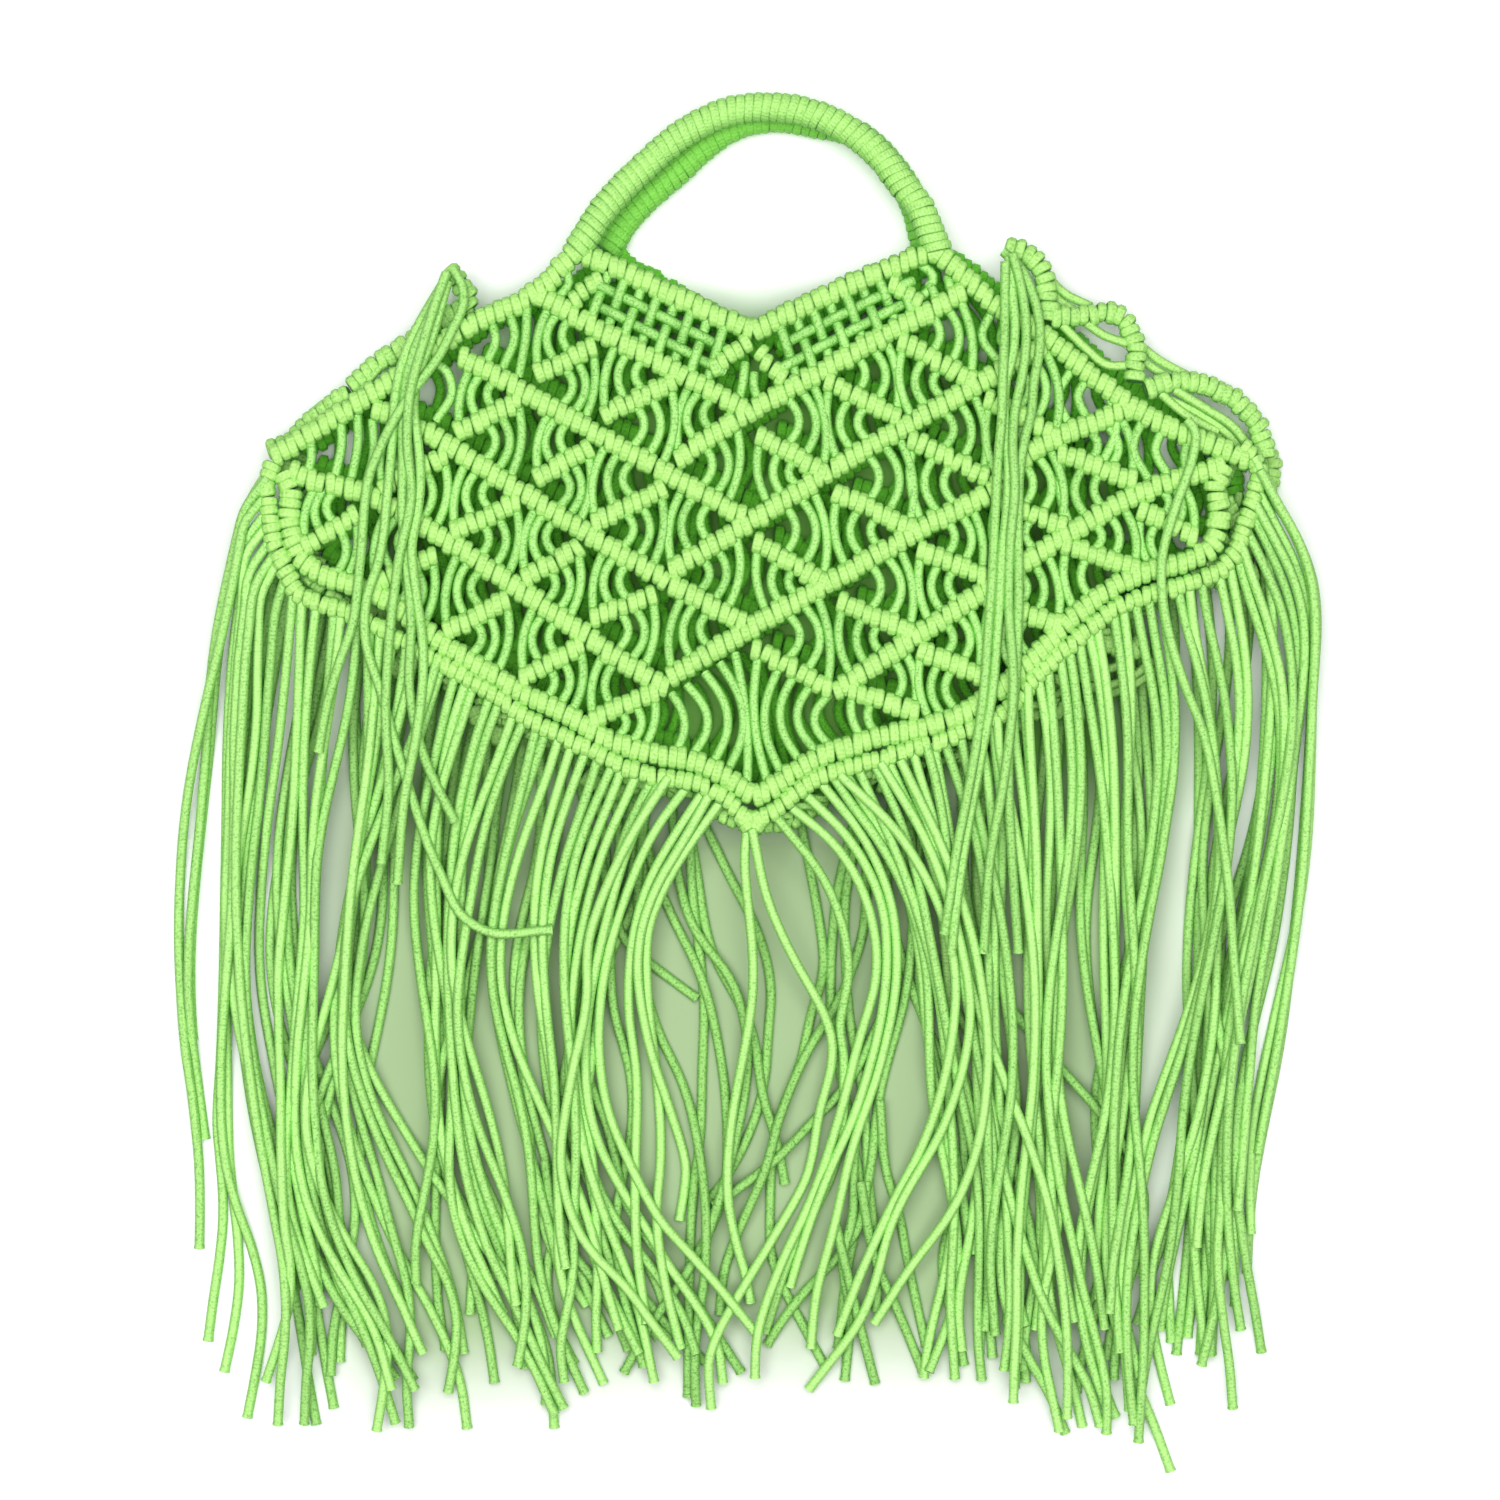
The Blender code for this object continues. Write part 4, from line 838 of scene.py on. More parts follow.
def plaited_cotton():
    """Shader group for waxed cotton cord: the plait of its braided skin, flecks, a tone for each cord,
    painted light on the sides that face up, and painted shade on the other sides, in the plait's grooves and
    between wraps.
    """
    group = bpy.data.node_groups.get("plaited_cotton")
    if group:
        return group
    group = bpy.data.node_groups.new("plaited_cotton", "ShaderNodeTree")
    # Lit is painted light on sides that face up, Side is painted shade on the others, Deep is painted shade
    # in grooves and between wraps as well as the flecks' own green
    for label, default in (
        ("Lit", (0.33, 0.80, 0.10, 1)), ("Side", (0.26, 0.68, 0.06, 1)), ("Deep", (0.10, 0.40, 0.02, 1)),
        ("Core", (0.10, 0.25, 0.03, 1)), ("Lit From", 0.1), ("Stitch Length", 0.0013),
        ("Strands Round", 6.0), ("Fleck Scale", 900.0), ("Fleck Amount", 0.35), ("Tone Amount", 0.25),
        ("Crease Shade", 0.85), ("Roughness Low", 0.55), ("Roughness High", 0.85),
    ):
        kind = "NodeSocketColor" if isinstance(default, tuple) else "NodeSocketFloat"
        group.interface.new_socket(label, in_out="INPUT", socket_type=kind).default_value = default
    for label, kind in (("Color", "Color"), ("Roughness", "Float"), ("Height", "Float")):
        group.interface.new_socket(label, in_out="OUTPUT", socket_type="NodeSocket" + kind)
    nodes, links = group.nodes, group.links
    given, outputs = nodes.new("NodeGroupInput").outputs, nodes.new("NodeGroupOutput").inputs

    def made(kind, **values):
        """A node, with the values or the links of its inputs by name."""
        node = nodes.new("ShaderNode" + kind)
        fill_sockets(links, ((node.inputs[name.replace("_", " ")], value) for name, value in values.items()))
        return node

    def worked(kind, *values):
        """What a maths node works out from numbers or outputs."""
        node = nodes.new("ShaderNodeMath")
        node.operation = kind
        fill_sockets(links, zip(node.inputs, values))
        return node.outputs[0]

    def stored(name):
        """A number that each corner of the mesh keeps."""
        node = nodes.new("ShaderNodeAttribute")
        node.attribute_name = name
        return node.outputs["Fac"]

    plait = nodes.new("ShaderNodeUVMap")
    plait.uv_map = "plait"
    split = made("SeparateXYZ", Vector=plait.outputs[0]).outputs
    along = worked("DIVIDE", split[0], given["Stitch Length"])
    turn = worked("MULTIPLY", split[1], given["Strands Round"])
    left = worked("SINE", worked("MULTIPLY", worked("ADD", along, turn), math.pi))
    right = worked("SINE", worked("MULTIPLY", worked("SUBTRACT", along, turn), math.pi))
    weave = worked("MULTIPLY", left, right)
    place = nodes.new("ShaderNodeTexCoord").outputs["Object"]
    flecks = made("TexNoise", Vector=place, Scale=given["Fleck Scale"], Detail=3.0, Roughness=0.7)
    flecks = flecks.outputs["Fac"]
    patches = made("TexNoise", Vector=place, Scale=26.0, Detail=2.0).outputs["Fac"]
    sharp = made("MapRange", Value=flecks, From_Min=0.50, From_Max=0.64).outputs[0]
    pits = worked("MULTIPLY", sharp, given["Fleck Amount"])
    # Painted shade in the plait's grooves
    groove = worked("MULTIPLY", worked("MAXIMUM", worked("MULTIPLY", weave, -1.0), 0.0), 0.1)
    # Painted shade in the grooves between the wraps of a hitch
    crease_shade = given["Crease Shade"]
    wrap_shade = made("MapRange", Value=stored("crease"), From_Min=0.80, From_Max=0.92, To_Max=crease_shade).outputs[0]
    dark = worked("MAXIMUM", worked("ADD", pits, groove), wrap_shade)
    # Tone that differs at random from cord to cord and in patches, plus painted shade on the strands that lie
    # under others
    tone_and_painted_shade = worked("MULTIPLY", worked("ADD", stored("tone"), patches), 0.5)
    shade = worked("MULTIPLY", tone_and_painted_shade, given["Tone Amount"])
    amount = worked("MINIMUM", worked("ADD", dark, shade), 1.0)
    # Painted light: sides that face up take the lit colour, the others the painted shade of the side colour
    painted_light_share = made("MapRange", Value=stored("lit_up"), From_Min=given["Lit From"], From_Max=0.9).outputs[0]
    lit_and_shaded = mixed(nodes, links, painted_light_share, given["Side"], given["Lit"])
    colour = mixed(nodes, links, amount, lit_and_shaded, given["Deep"])
    colour = mixed(nodes, links, worked("MULTIPLY", stored("cut"), 0.85), colour, given["Core"])
    rough = made("MapRange", Value=flecks, To_Min=given["Roughness Low"], To_Max=given["Roughness High"])
    height = worked("ADD", worked("MULTIPLY", weave, 0.6), worked("MULTIPLY", flecks, 0.7))
    for label, value in (("Color", colour), ("Roughness", rough.outputs[0]), ("Height", height)):
        links.new(value, outputs[label])
    return group


def cord_material(name, values):
    """Waxed cotton in one finish, from the shared group with its own values."""
    material = bpy.data.materials.get(name)
    if material:
        return material
    material = bpy.data.materials.new(name)
    material.use_nodes = True
    nodes, links = material.node_tree.nodes, material.node_tree.links
    cotton = nodes.new("ShaderNodeGroup")
    cotton.node_tree = plaited_cotton()
    bump = nodes.new("ShaderNodeBump")
    for node, settings in (
        (cotton, values),
        (bump, {"Strength": 0.6, "Distance": 0.00035, "Height": cotton.outputs["Height"]}),
        (nodes["Principled BSDF"], {
            "Metallic": 0.0, "Specular IOR Level": 0.25, "Sheen Weight": 0.06, "Sheen Roughness": 0.5,
            "Base Color": cotton.outputs["Color"], "Roughness": cotton.outputs["Roughness"],
            "Normal": bump.outputs["Normal"],
        }),
    ):
        fill_sockets(links, ((node.inputs[label], value) for label, value in settings.items()))
    return material


def finish_of(part):
    """The material of the nets, the gusset, the handles or the fringe."""
    look = bpy.context.scene.handbag_look
    lit, sides, deep = (
        tuple(colour) + (1.0,) for colour in (look.lit_colour, look.shaded_side_colour, look.deep_colour)
    )
    table = {
        # part: stitch length, strands round, fleck scale, fleck amount, tone amount, painted light from,
        # redness
        "ribs": (0.0014, 6.0, 950.0, 0.24, 0.12, -0.1, 0.97),
        "cords": (0.0014, 6.0, 950.0, 0.46, 0.28, 0.2, 0.86),
        "gusset": (0.0014, 6.0, 950.0, 0.34, 0.20, -0.2, 0.94),
        "handle": (0.0012, 5.0, 950.0, 0.28, 0.12, -0.2, 0.92),
        "fringe": (0.0015, 6.0, 900.0, 0.40, 0.36, -0.4, 0.88),
    }
    stitch, strands, scale, flecks, tones, lit_from, redness = table[part]
    lit = (lit[0] * redness, *lit[1:])
    values = {
        "Lit": lit, "Side": sides, "Deep": deep, "Stitch Length": stitch, "Strands Round": strands,
        "Fleck Scale": scale, "Fleck Amount": flecks, "Tone Amount": tones, "Lit From": lit_from,
    }
    return cord_material("waxed_cotton_" + part, values)


def rib_down(name, across):
    """How far down in the photograph a rib is, or the border short of its upright ends."""
    rows = {"border_left": BORDER_LEFT[:16], "border_right": BORDER_RIGHT[:18], **LONG_RIBS}
    return float(np.interp(across, *zip(*sorted(rows[name]))))


def bowed(top, bottom, bow):
    """Pixels of a cord that bows to the right between two ribs."""
    (x0, y0), (x1, y1) = top, bottom
    return [(x0 + (x1 - x0) * t + bow * out, y0 + (y1 - y0) * t) for t, out in BOW_SHAPE]


def cords_at(low, knob, pair, counts):
    """Ends and bows of the cords that run from a short rib to the rib over it and the rib under it."""
    half = RIB / 2 / PIXEL * CORD_INSET
    side = math.copysign(1, knob[0] - low[0])
    cords = []
    # down is -1 for the cords over the short rib and 1 for those under it
    for down, rib, table, count in zip((-1, 1), pair, (CORDS_OVER, CORDS_UNDER), counts):
        for share, lean, bow in table[:count]:
            near = [start + (end - start) * share for start, end in zip(low, knob)]
            near[1] += down * half
            far_x = near[0] - down * side * lean
            far = (far_x, rib_down(rib, far_x) - down * half)
            cords.append((near, far, side * bow) if down > 0 else (far, near, -side * bow))
    return cords


def bowed_cords(random):
    """Pixels of every cord that bows between a short rib and the ribs over and under it."""
    cords = []
    for pair, ribs in itertools.chain(SHORT_RIBS.items(), PASSING_ENDS.items()):
        for low, knob, *counts in ribs:
            cords += cords_at(low, knob, pair, counts)
    rows = []
    for head, foot, bow in cords + DIAMOND_CORDS:
        chord = foot[1] - head[1]
        if chord > SHORTEST_BOW:
            rows.append(bowed(head, foot, chord * bow * random.uniform(*BOW_UNEVEN)))
    return rows


def lacing(place):
    """Cords of the laced band under the mouth: two long ones a side, and slanted ones over and under."""
    cords = []
    for upper, lower, start, end in (
        ("mouth_left", "first_left", 600, 716), ("mouth_right", "first_right", 904, 788),
    ):
        way = math.copysign(1, end - start)
        count = int(abs(end - start) / LACING_STEP)
        for number, share in enumerate(LACING_SHARES):
            pixels, lifts = [], []
            for k in range(-1, 2 * count + 2):
                x = start + way * k * LACING_STEP / 2
                y = rib_down(upper, x) * (1 - share) + rib_down(lower, x) * share
                pixels.append((x, y))
                lifts.append(LACING_LIFT * math.cos(math.pi * (k / 2 + number)))
            path = place(pixels)
            path[:, 2] += lifts
            cords.append(path)
        for k in range(count + 1):
            x = start + way * k * LACING_STEP
            lean = way * LACING_LEAN
            top = rib_down(upper, x + lean) + LACING_INSET
            bottom = rib_down(lower, x - lean) - LACING_INSET
            pixels = [(x + lean * (1 - 2 * t), top + (bottom - top) * t) for t in (0, *LACING_SHARES, 1)]
            path = place(pixels)
            over = -LACING_LIFT * math.cos(math.pi * k)
            path[:, 2] += np.array([0, over, -over, 0])
            cords.append(path)
    return cords


def net(side, place, seed):
    """One net panel: its border, its ribs and the cords between them, as three pieces."""
    node = "net_" + side
    is_front = side == "front"
    # The back net is painted the other way up: its upper side, under the front net, in painted shade, and its
    # lower side with painted light
    outside = 1 if is_front else -1
    sizes = bpy.context.scene.handbag_sizes

    def hitch(work, pixels, width=RIB_WIDTH, uneven=1.0):
        """A rib of hitches through a few pixels. Strands and tassels lie on the front net's ribs."""
        path = smooth_path(place(pixels), RIB_STEP)
        work.hitches(
            path, width, RIB, sizes.hitch_pitch, sizes.hitch_lean, uneven=uneven, sides=8 if is_front else 6
        )
        if is_front:
            GROUND.take_path(path, width / 2)

    border = CordWork(seed, outside)
    for pixels in (BORDER_LEFT, BORDER_RIGHT, TOP_LEFT, TOP_RIGHT):
        hitch(border, pixels)
    drop = 0 if is_front else MOUTH_DROP
    for name in ("mouth_left", "mouth_right"):
        hitch(border, [(x, y + drop) for x, y in LONG_RIBS[name]])
    border.piece(node + "_border", finish_of("ribs"), node, "net_cord")
    ribs = CordWork(seed + 1, outside)
    for name, pixels in LONG_RIBS.items():
        if not name.startswith("mouth"):
            hitch(ribs, pixels)
    for low, knob, *_ in itertools.chain(*SHORT_RIBS.values()):
        hitch(ribs, (low, knob), SHORT_RIB_WIDTH, SHORT_RIB_UNEVEN)
    for pixels in LACED_BAND_RIBS:
        hitch(ribs, pixels, BAND_RIB_WIDTH, SHORT_RIB_UNEVEN)
    ribs.piece(node + "_ribs", finish_of("ribs"), node, "net_cord")
    cords = CordWork(seed + 2, outside)
    for pixels in bowed_cords(cords.random) + EDGE_CORDS:
        path = smooth_path(place(pixels), CORD_STEP)
        share = np.linspace(-1, 1, len(path))
        rise = cords.random.normal(0, CORD_RISE)
        path[:, 2] += rise + (1 - share**2) * cords.random.uniform(*CORD_ARCH) - share**4 * CORD_TUCK
        cords.tube(path, NET_CORD / 2)
    for path in lacing(place):
        cords.tube(smooth_path(path, CORD_STEP), LACING_CORD / 2)
    cords.piece(node + "_cords", finish_of("cords"), node, "net_cord")


def hem(side, place, seed):
    """The outer row of hitches, which the fringe hangs from, with the knot at its tip."""
    work = CordWork(seed)
    lean = bpy.context.scene.handbag_sizes.hitch_lean
    for pixels in (HEM_LEFT, HEM_RIGHT):
        path = smooth_path(place(pixels), RIB_STEP)
        work.hitches(path, HEM_WIDTH, HEM_HEIGHT, HEM_PITCH, lean, uneven=EDGE_UNEVEN)
        if side == "front":
            GROUND.take_path(path, HEM_WIDTH / 2)
    work.hitches(smooth_path(place(HEM_KNOT), RIB_STEP), HEM_WIDTH, HEM_HEIGHT, HEM_PITCH)
    work.piece("hem_" + side + "_hitches", finish_of("ribs"), "hem_" + side, "net_cord")


def handle(side, pixels, outside, seed):
    """A wrapped arch. Its wraps are tighter and rounder than the hitches of the nets."""
    work = CordWork(seed, outside)
    low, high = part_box("handle_" + side)
    path = smooth_path([at_pixel(p, (low.z + high.z) / 2) for p in pixels], RIB_STEP)
    path[:, 2] = low.z + HANDLE / 2
    if side == "front":
        share = np.abs(np.linspace(-1, 1, len(path)))
        path[:, 2] += (MOUTH_HEIGHT - path[:, 2]) * smooth_share((share - HANDLE_LYING) / HANDLE_CLIMB)
    work.hitches(path, HANDLE, HANDLE, HANDLE_PITCH, uneven=0.25, thickness=HANDLE_WRAP, pairs=False,
                 slant=HANDLE_SLANT, round_ends=0.25)
    work.tube(path, HANDLE / 2 - HANDLE_COVER, sides=10)
    work.piece("handle_" + side + "_wraps", finish_of("handle"), "handle_" + side, "handle_cord")


def gusset_height(share):
    """A height as a share of the way from the gusset's foot up to the mouth."""
    return GUSSET_LOW.z + (MOUTH_HEIGHT - GUSSET_LOW.z) * share


def seen_gusset(work, lean):
    """The teeth and cords of the gusset that the photograph shows past the net."""
    for pixels, shares in GUSSET_RIBS:
        path = smooth_path([at_pixel(p, gusset_height(GUSSET_RIB_LEVEL)) for p in pixels], RIB_STEP)
        path[:, 2] = gusset_height(np.interp(np.linspace(0, 1, len(path)), [0, 0.5, 1], shares))
        work.hitches(path, GUSSET_WIDTH, GUSSET_THICKNESS, HITCH_PITCH, lean, uneven=EDGE_UNEVEN)
    for pixels, shares in GUSSET_CORDS:
        path = smooth_path([at_pixel(p, gusset_height(GUSSET_CORD_LEVEL)) for p in pixels], 0.0025)
        path[:, 2] = gusset_height(np.linspace(*shares, len(path)))
        work.tube(path, CORD / 2)


def gusset_strip():
    """The strip's front edge from ear to ear, and a function that gives places on its folded surface."""
    left_top, right_top = TOP_LEFT[2::-1], TOP_RIGHT[:4]
    edge = on_front(left_top + BORDER_LEFT[:0:-1] + BORDER_RIGHT + right_top)
    edge = evenly(smooth_path(edge, 0.003), int(lengths_along(edge)[-1] / GUSSET_STEP))
    length = lengths_along(edge)
    left_end = lengths_along(on_front(left_top))[-1]
    right_end = length[-1] - lengths_along(on_front(right_top))[-1]
    across = frames_along(edge)[1]
    foot = GUSSET_LOW.z + GUSSET_FOOT
    low, high = GUSSET_BULGE_ENDS

    def place(along, up):
        """Up is 0 at the back's edge and 1 at the front's."""
        spot, inwards = (
            np.array([np.interp(along, length, rows[:, axis]) for axis in range(3)])
            for rows in (edge, across)
        )
        out = -inwards / np.linalg.norm(inwards)
        top = spot[2] - GUSSET_HEAD
        under_hem = smooth_share(min(along - left_end, right_end - along) / GUSSET_SPREADING)
        bulge = under_hem * (GUSSET_OUT + GUSSET_BULGE * math.sin(math.pi * (low + (high - low) * up)))
        spot = spot + np.array([*BACK_SHIFT, 0.0]) * (1 - up) + out * bulge
        spot[2] = foot + (top - foot) * up
        return spot

    return length[-1], place


def gusset(seed):
    """The strip that joins the nets: a zigzag of hitches with cords bowed across its teeth."""
    work = CordWork(seed)
    sizes = bpy.context.scene.handbag_sizes
    seen_gusset(work, sizes.hitch_lean * GUSSET_LEAN)
    length, place = gusset_strip()
    run = sizes.tooth_pitch / 2
    for tooth in range(int(length / run)):
        start = tooth * run
        low, high = TOOTH_ENDS[::-1] if tooth % 2 else TOOTH_ENDS
        spots = [place(start + run * t, low + (high - low) * t) for t in np.linspace(0, 1, 6)]
        path = smooth_path(spots, RIB_STEP)
        work.hitches(path, TOOTH_WIDTH, TOOTH_HEIGHT, HITCH_PITCH, uneven=EDGE_UNEVEN, sides=6)
        bow = TOOTH_CORD_BOW if tooth % 2 else -TOOTH_CORD_BOW
        for share in TOOTH_CORDS:
            up, along = low + (high - low) * share, start + run * share
            for edge in (0.0, 1.0):
                if abs(up - edge) < TOOTH_CORD_REACH:
                    continue
                spots = [
                    place(along + bow * math.sin(math.pi * t), up + (edge - up) * t)
                    for t in np.linspace(0, 1, 5)
                ]
                work.tube(smooth_path(spots, 0.003), CORD / 2, sides=6)
    work.piece("gusset_zigzag", finish_of("gusset"), "gusset", "gusset_cord")


def guide_shares(guides, path):
    """How far along the hem each leading strand leaves it."""
    lengths = lengths_along(path)
    shares = []
    for guide in guides:
        root = at_pixel(guide[0], path[:, 2].mean())
        nearest = np.argmin(np.linalg.norm(path[:, :2] - root[:2], axis=1))
        shares.append(lengths[nearest] / lengths[-1])
    return np.array(shares)


def clumps_of(count, random):
    """The clump that each strand belongs to. A clump holds two to five strands side by side."""
    return np.repeat(np.arange(count), random.integers(2, 6, count))[:count]


def strand_routes(guides, path, count, random):
    """Roots of strands along the hem, and their routes in plan, led by the guides and gathered in clumps."""
    shares = guide_shares(guides, path)
    order = np.argsort(shares)
    shares = shares[order]
    tables = np.array([evenly(smooth_route(guides[k], GUIDE_SPACING), GUIDE_STEPS)[:, :2] for k in order])
    lengths = lengths_along(path)
    t = np.linspace(0, 1, GUIDE_STEPS)
    pull = GATHER * np.sin(math.pi * np.clip(t * 1.2, 0, 1)) ** 1.5
    own = (np.arange(count) + 0.5 + random.normal(0, 0.2, count)) / count
    clump = clumps_of(count, random)
    drift = random.normal(0, STRAY, count)[clump]
    swing = random.normal(0, STRAY * CLUMP_SWING, count)[clump]
    phase = random.uniform(0, 2 * math.pi, count)[clump]
    turns = random.uniform(*CLUMP_WAVES, count)[clump]
    for number in range(count):
        share = own[number] + (own[clump == clump[number]].mean() - own[number]) * pull
        route = np.array(
            [[np.interp(share[i], shares, tables[:, i, axis]) for axis in (0, 1)] for i in range(GUIDE_STEPS)]
        )
        sway = drift[number] * t**1.2
        sway += swing[number] * t**0.8 * np.sin(phase[number] + 2 * math.pi * turns[number] * t)
        sway += random.normal(0, STRAY * OWN_DRIFT) * t
        waves = random.uniform(*OWN_WAVES)
        sway += STRAY * OWN_WAVE * t**0.7 * np.sin(random.uniform(0, 2 * math.pi) + 2 * math.pi * waves * t)
        if random.random() < LONER_CHANCE:
            leaves_at = random.uniform(0.2, 0.6)
            sway += random.normal(0, STRAY * LONER_STRAY) * smooth_share((t - leaves_at) / 0.5)
        sway += random.normal(0, STRAY * END_STRAY) * smooth_share((t - 0.8) / 0.2)
        outermost = min(own[number], 1 - own[number]) < 0.05
        route[:, 0] += sway * (EDGE_STRAY if outermost else 1.0)
        trim = random.uniform(0.0, 1.0) ** 2.5 * LONGEST_TRIM
        route = route[: max(5, int(round(GUIDE_STEPS * (1 - trim))))]
        root = np.array([np.interp(own[number] * lengths[-1], lengths, path[:, axis]) for axis in range(3)])
        yield root, route


def lay_strand(work, root, route, fall, tone):
    """One strand: out of the hem at its root, falling to the floor, then lying on what is there."""
    distance = lengths_along(route) * PIXEL
    heights = root[2] * (1 - smooth_share(distance / fall))
    places = np.array([at_pixel(p, z) for p, z in zip(route, heights)])
    places[0] = root
    places = smooth_path(places, STRAND_STEP)
    held = root[2] * (1 - smooth_share(lengths_along(places) / fall))
    work.tube(GROUND.lay(places, STRAND / 2, held), STRAND / 2, tone=tone, cut_end=True)


def fringe(side, place, seed):
    """A fringe: strands hitched onto the hem that fall to the floor and lie over each other."""
    work = CordWork(seed)
    draw = work.random.uniform
    sizes = bpy.context.scene.handbag_sizes
    hem_line = smooth_path(place(HEM_LEFT[::-1] + HEM_RIGHT[1:]), 0.001)
    if side == "front":
        guides, singles, count, fall = FRINGE_GUIDES, FRONT_LOOSE, sizes.front_strands, LOOSE_FALL
        # Painted light: the loose front strands, which lie on top, take the lightest tone
        single_tone = STRAND_TONES[side][0]
    else:
        guides, singles, count, fall = BACK_GUIDES, PARTING_STRANDS, sizes.back_strands, BACK_FALL
        # Painted shade: the back strands across the parting, which lie under others, take the darkest tone
        single_tone = STRAND_TONES[side][1]
    strands = list(strand_routes(guides, hem_line, count, work.random))
    for k in work.random.permutation(len(strands)):
        root, route = strands[k]
        if PARTING[0] < route[0][0] < PARTING[1] and work.random.random() < PARTING_SKIPS[side]:
            continue
        own_fall = draw(*FRONT_FALL) if side == "front" else fall
        lay_strand(work, root, route, own_fall, draw(*STRAND_TONES[side]))
    for pixels in singles:
        route = smooth_route(pixels, SINGLE_SPACING)[:, :2]
        lay_strand(work, at_pixel(pixels[0], hem_line[:, 2].mean()), route, fall, single_tone)
    if side == "front":
        GROUND.fringed = GROUND.heights > 0
    work.piece("fringe_" + side + "_strands", finish_of("fringe"), "fringe_" + side, "fringe_cord")


def tassel(side, strands, seed):
    """Strands that hang from an ear of the gusset and lie over the front net and the fringe."""
    work = CordWork(seed)
    for pixels in strands:
        path = smooth_path([at_pixel(p, TASSEL_HEIGHT) for p in pixels], TASSEL_STEP)
        work.tube(GROUND.lay(path, STRAND / 2), STRAND / 2, cut_end=True)
    work.piece("tassel_" + side + "_strands", finish_of("fringe"), "tassel_" + side, "fringe_cord")


def box_mean(field, reach):
    """Mean of a field over a box that reaches so many cells along x and along y to each side."""
    for axis, cells in enumerate(reach):
        field = np.moveaxis(np.asarray(field, float), axis, 0)
        sums = np.pad(field, ((cells + 1, cells), (0, 0))).cumsum(axis=0)
        field = np.moveaxis((sums[2 * cells + 1 :] - sums[: -2 * cells - 1]) / (2 * cells + 1), 0, axis)
    return field


def spread_of(cells, inset, blur):
    """Soft cover of an area, from the cells with cords over them: gaps closed, edge drawn in, blurred."""
    filled = box_mean(cells, SHADOW_CLOSES) > 0
    shrunk = box_mean(filled, tuple(np.add(SHADOW_CLOSES, inset))) > 0.999
    return box_mean(shrunk, blur)


def paper():
    """White paper with painted shadow of the cords above it: some under the fringe, more under the net."""
    netted = (GROUND.heights > 0) & ~GROUND.fringed
    # Masks of painted shadow, from where the cords lie, closed, drawn in and blurred
    tints = (
        ("grey", PAPER_FRINGE_SHADOW, spread_of(GROUND.fringed, FRINGE_SHADOW_INSET, FRINGE_SHADOW_BLUR)),
        ("shade", PAPER_SHADE, spread_of(netted, SHADE_INSET, SHADE_BLUR)),
    )
    rows, columns = (np.linspace(low, high, PAPER_CELLS) for low, high in zip(GROUND.LOW, GROUND.HIGH))
    rows, columns = (np.concatenate([[-PAPER_HALF], line, [PAPER_HALF]]) for line in (rows, columns))
    x, y = np.meshgrid(rows, columns, indexing="ij")
    cells = [
        np.clip(((line - low) / GROUND.CELL).astype(int), 0, count - 1)
        for line, low, count in zip((x, y), GROUND.LOW, GROUND.heights.shape)
    ]
    count = PAPER_CELLS + 2
    index = np.arange(count * count).reshape(count, count)
    quads = np.stack([index[:-1, :-1], index[1:, :-1], index[1:, 1:], index[:-1, 1:]], axis=-1).reshape(-1, 4)
    corners = np.stack([x, y, np.zeros_like(x)], axis=-1).reshape(-1, 3)
    mesh = bpy.data.meshes.new("paper")
    mesh.from_pydata(corners.tolist(), [], quads.tolist())
    material = bpy.data.materials.new("white_paper_painted_shadow")
    material.use_nodes = True
    nodes, links = material.node_tree.nodes, material.node_tree.links
    shader = nodes["Principled BSDF"]
    shader.inputs["Roughness"].default_value = 0.9
    shader.inputs["Specular IOR Level"].default_value = 0.2
    colour = PAPER_WHITE
    # Painted shadow mixed into the paper's white
    for label, tint, mask in tints:
        attribute = mesh.attributes.new(label, "FLOAT", "POINT")
        attribute.data.foreach_set("value", mask[cells[0], cells[1]].astype(np.float32).ravel())
        stored = nodes.new("ShaderNodeAttribute")
        stored.attribute_name = label
        colour = mixed(nodes, links, stored.outputs["Fac"], colour, tint)
    links.new(colour, shader.inputs["Base Color"])
    mesh.materials.append(material)
    floor = bpy.data.objects.new("paper", mesh)
    bpy.context.scene.collection.objects.link(floor)


def stage():
    """Paper on the floor, a large soft light overhead, a weaker one at the right, and the camera."""
    look = bpy.context.scene.handbag_look
    paper()
    for name, spot, size, power in (
        ("key", KEY_SPOT, KEY_SIZE, look.key_power), ("fill", FILL_SPOT, FILL_SIZE, look.fill_power),
    ):
        light = bpy.data.lights.new(name, "AREA")
        light.size = size
        light.energy = power
        lamp = bpy.data.objects.new(name, light)
        lamp.location = spot
        lamp.rotation_euler = (-Vector(spot)).to_track_quat("-Z", "Y").to_euler()
        bpy.context.scene.collection.objects.link(lamp)
    world = bpy.data.worlds.new("studio")
    bpy.context.scene.world = world
    world.use_nodes = True
    background = world.node_tree.nodes["Background"].inputs
    background["Color"].default_value = (1, 1, 1, 1)
    background["Strength"].default_value = look.world_strength
    camera_data = bpy.data.cameras.new("camera")
    camera_data.sensor_width = 36.0
    camera_data.lens = camera_data.sensor_width * CAMERA_DISTANCE / (2 * PHOTO_MIDDLE * PIXEL)
    camera_data.clip_start, camera_data.clip_end = 0.05, 20.0
    camera = bpy.data.objects.new("camera", camera_data)
    camera.location = (CAMERA_SPOT[0], CAMERA_SPOT[1], CAMERA_HEIGHT)
    bpy.context.scene.collection.objects.link(camera)
    bpy.context.scene.camera = camera
    bpy.context.scene.view_settings.view_transform = "Standard"


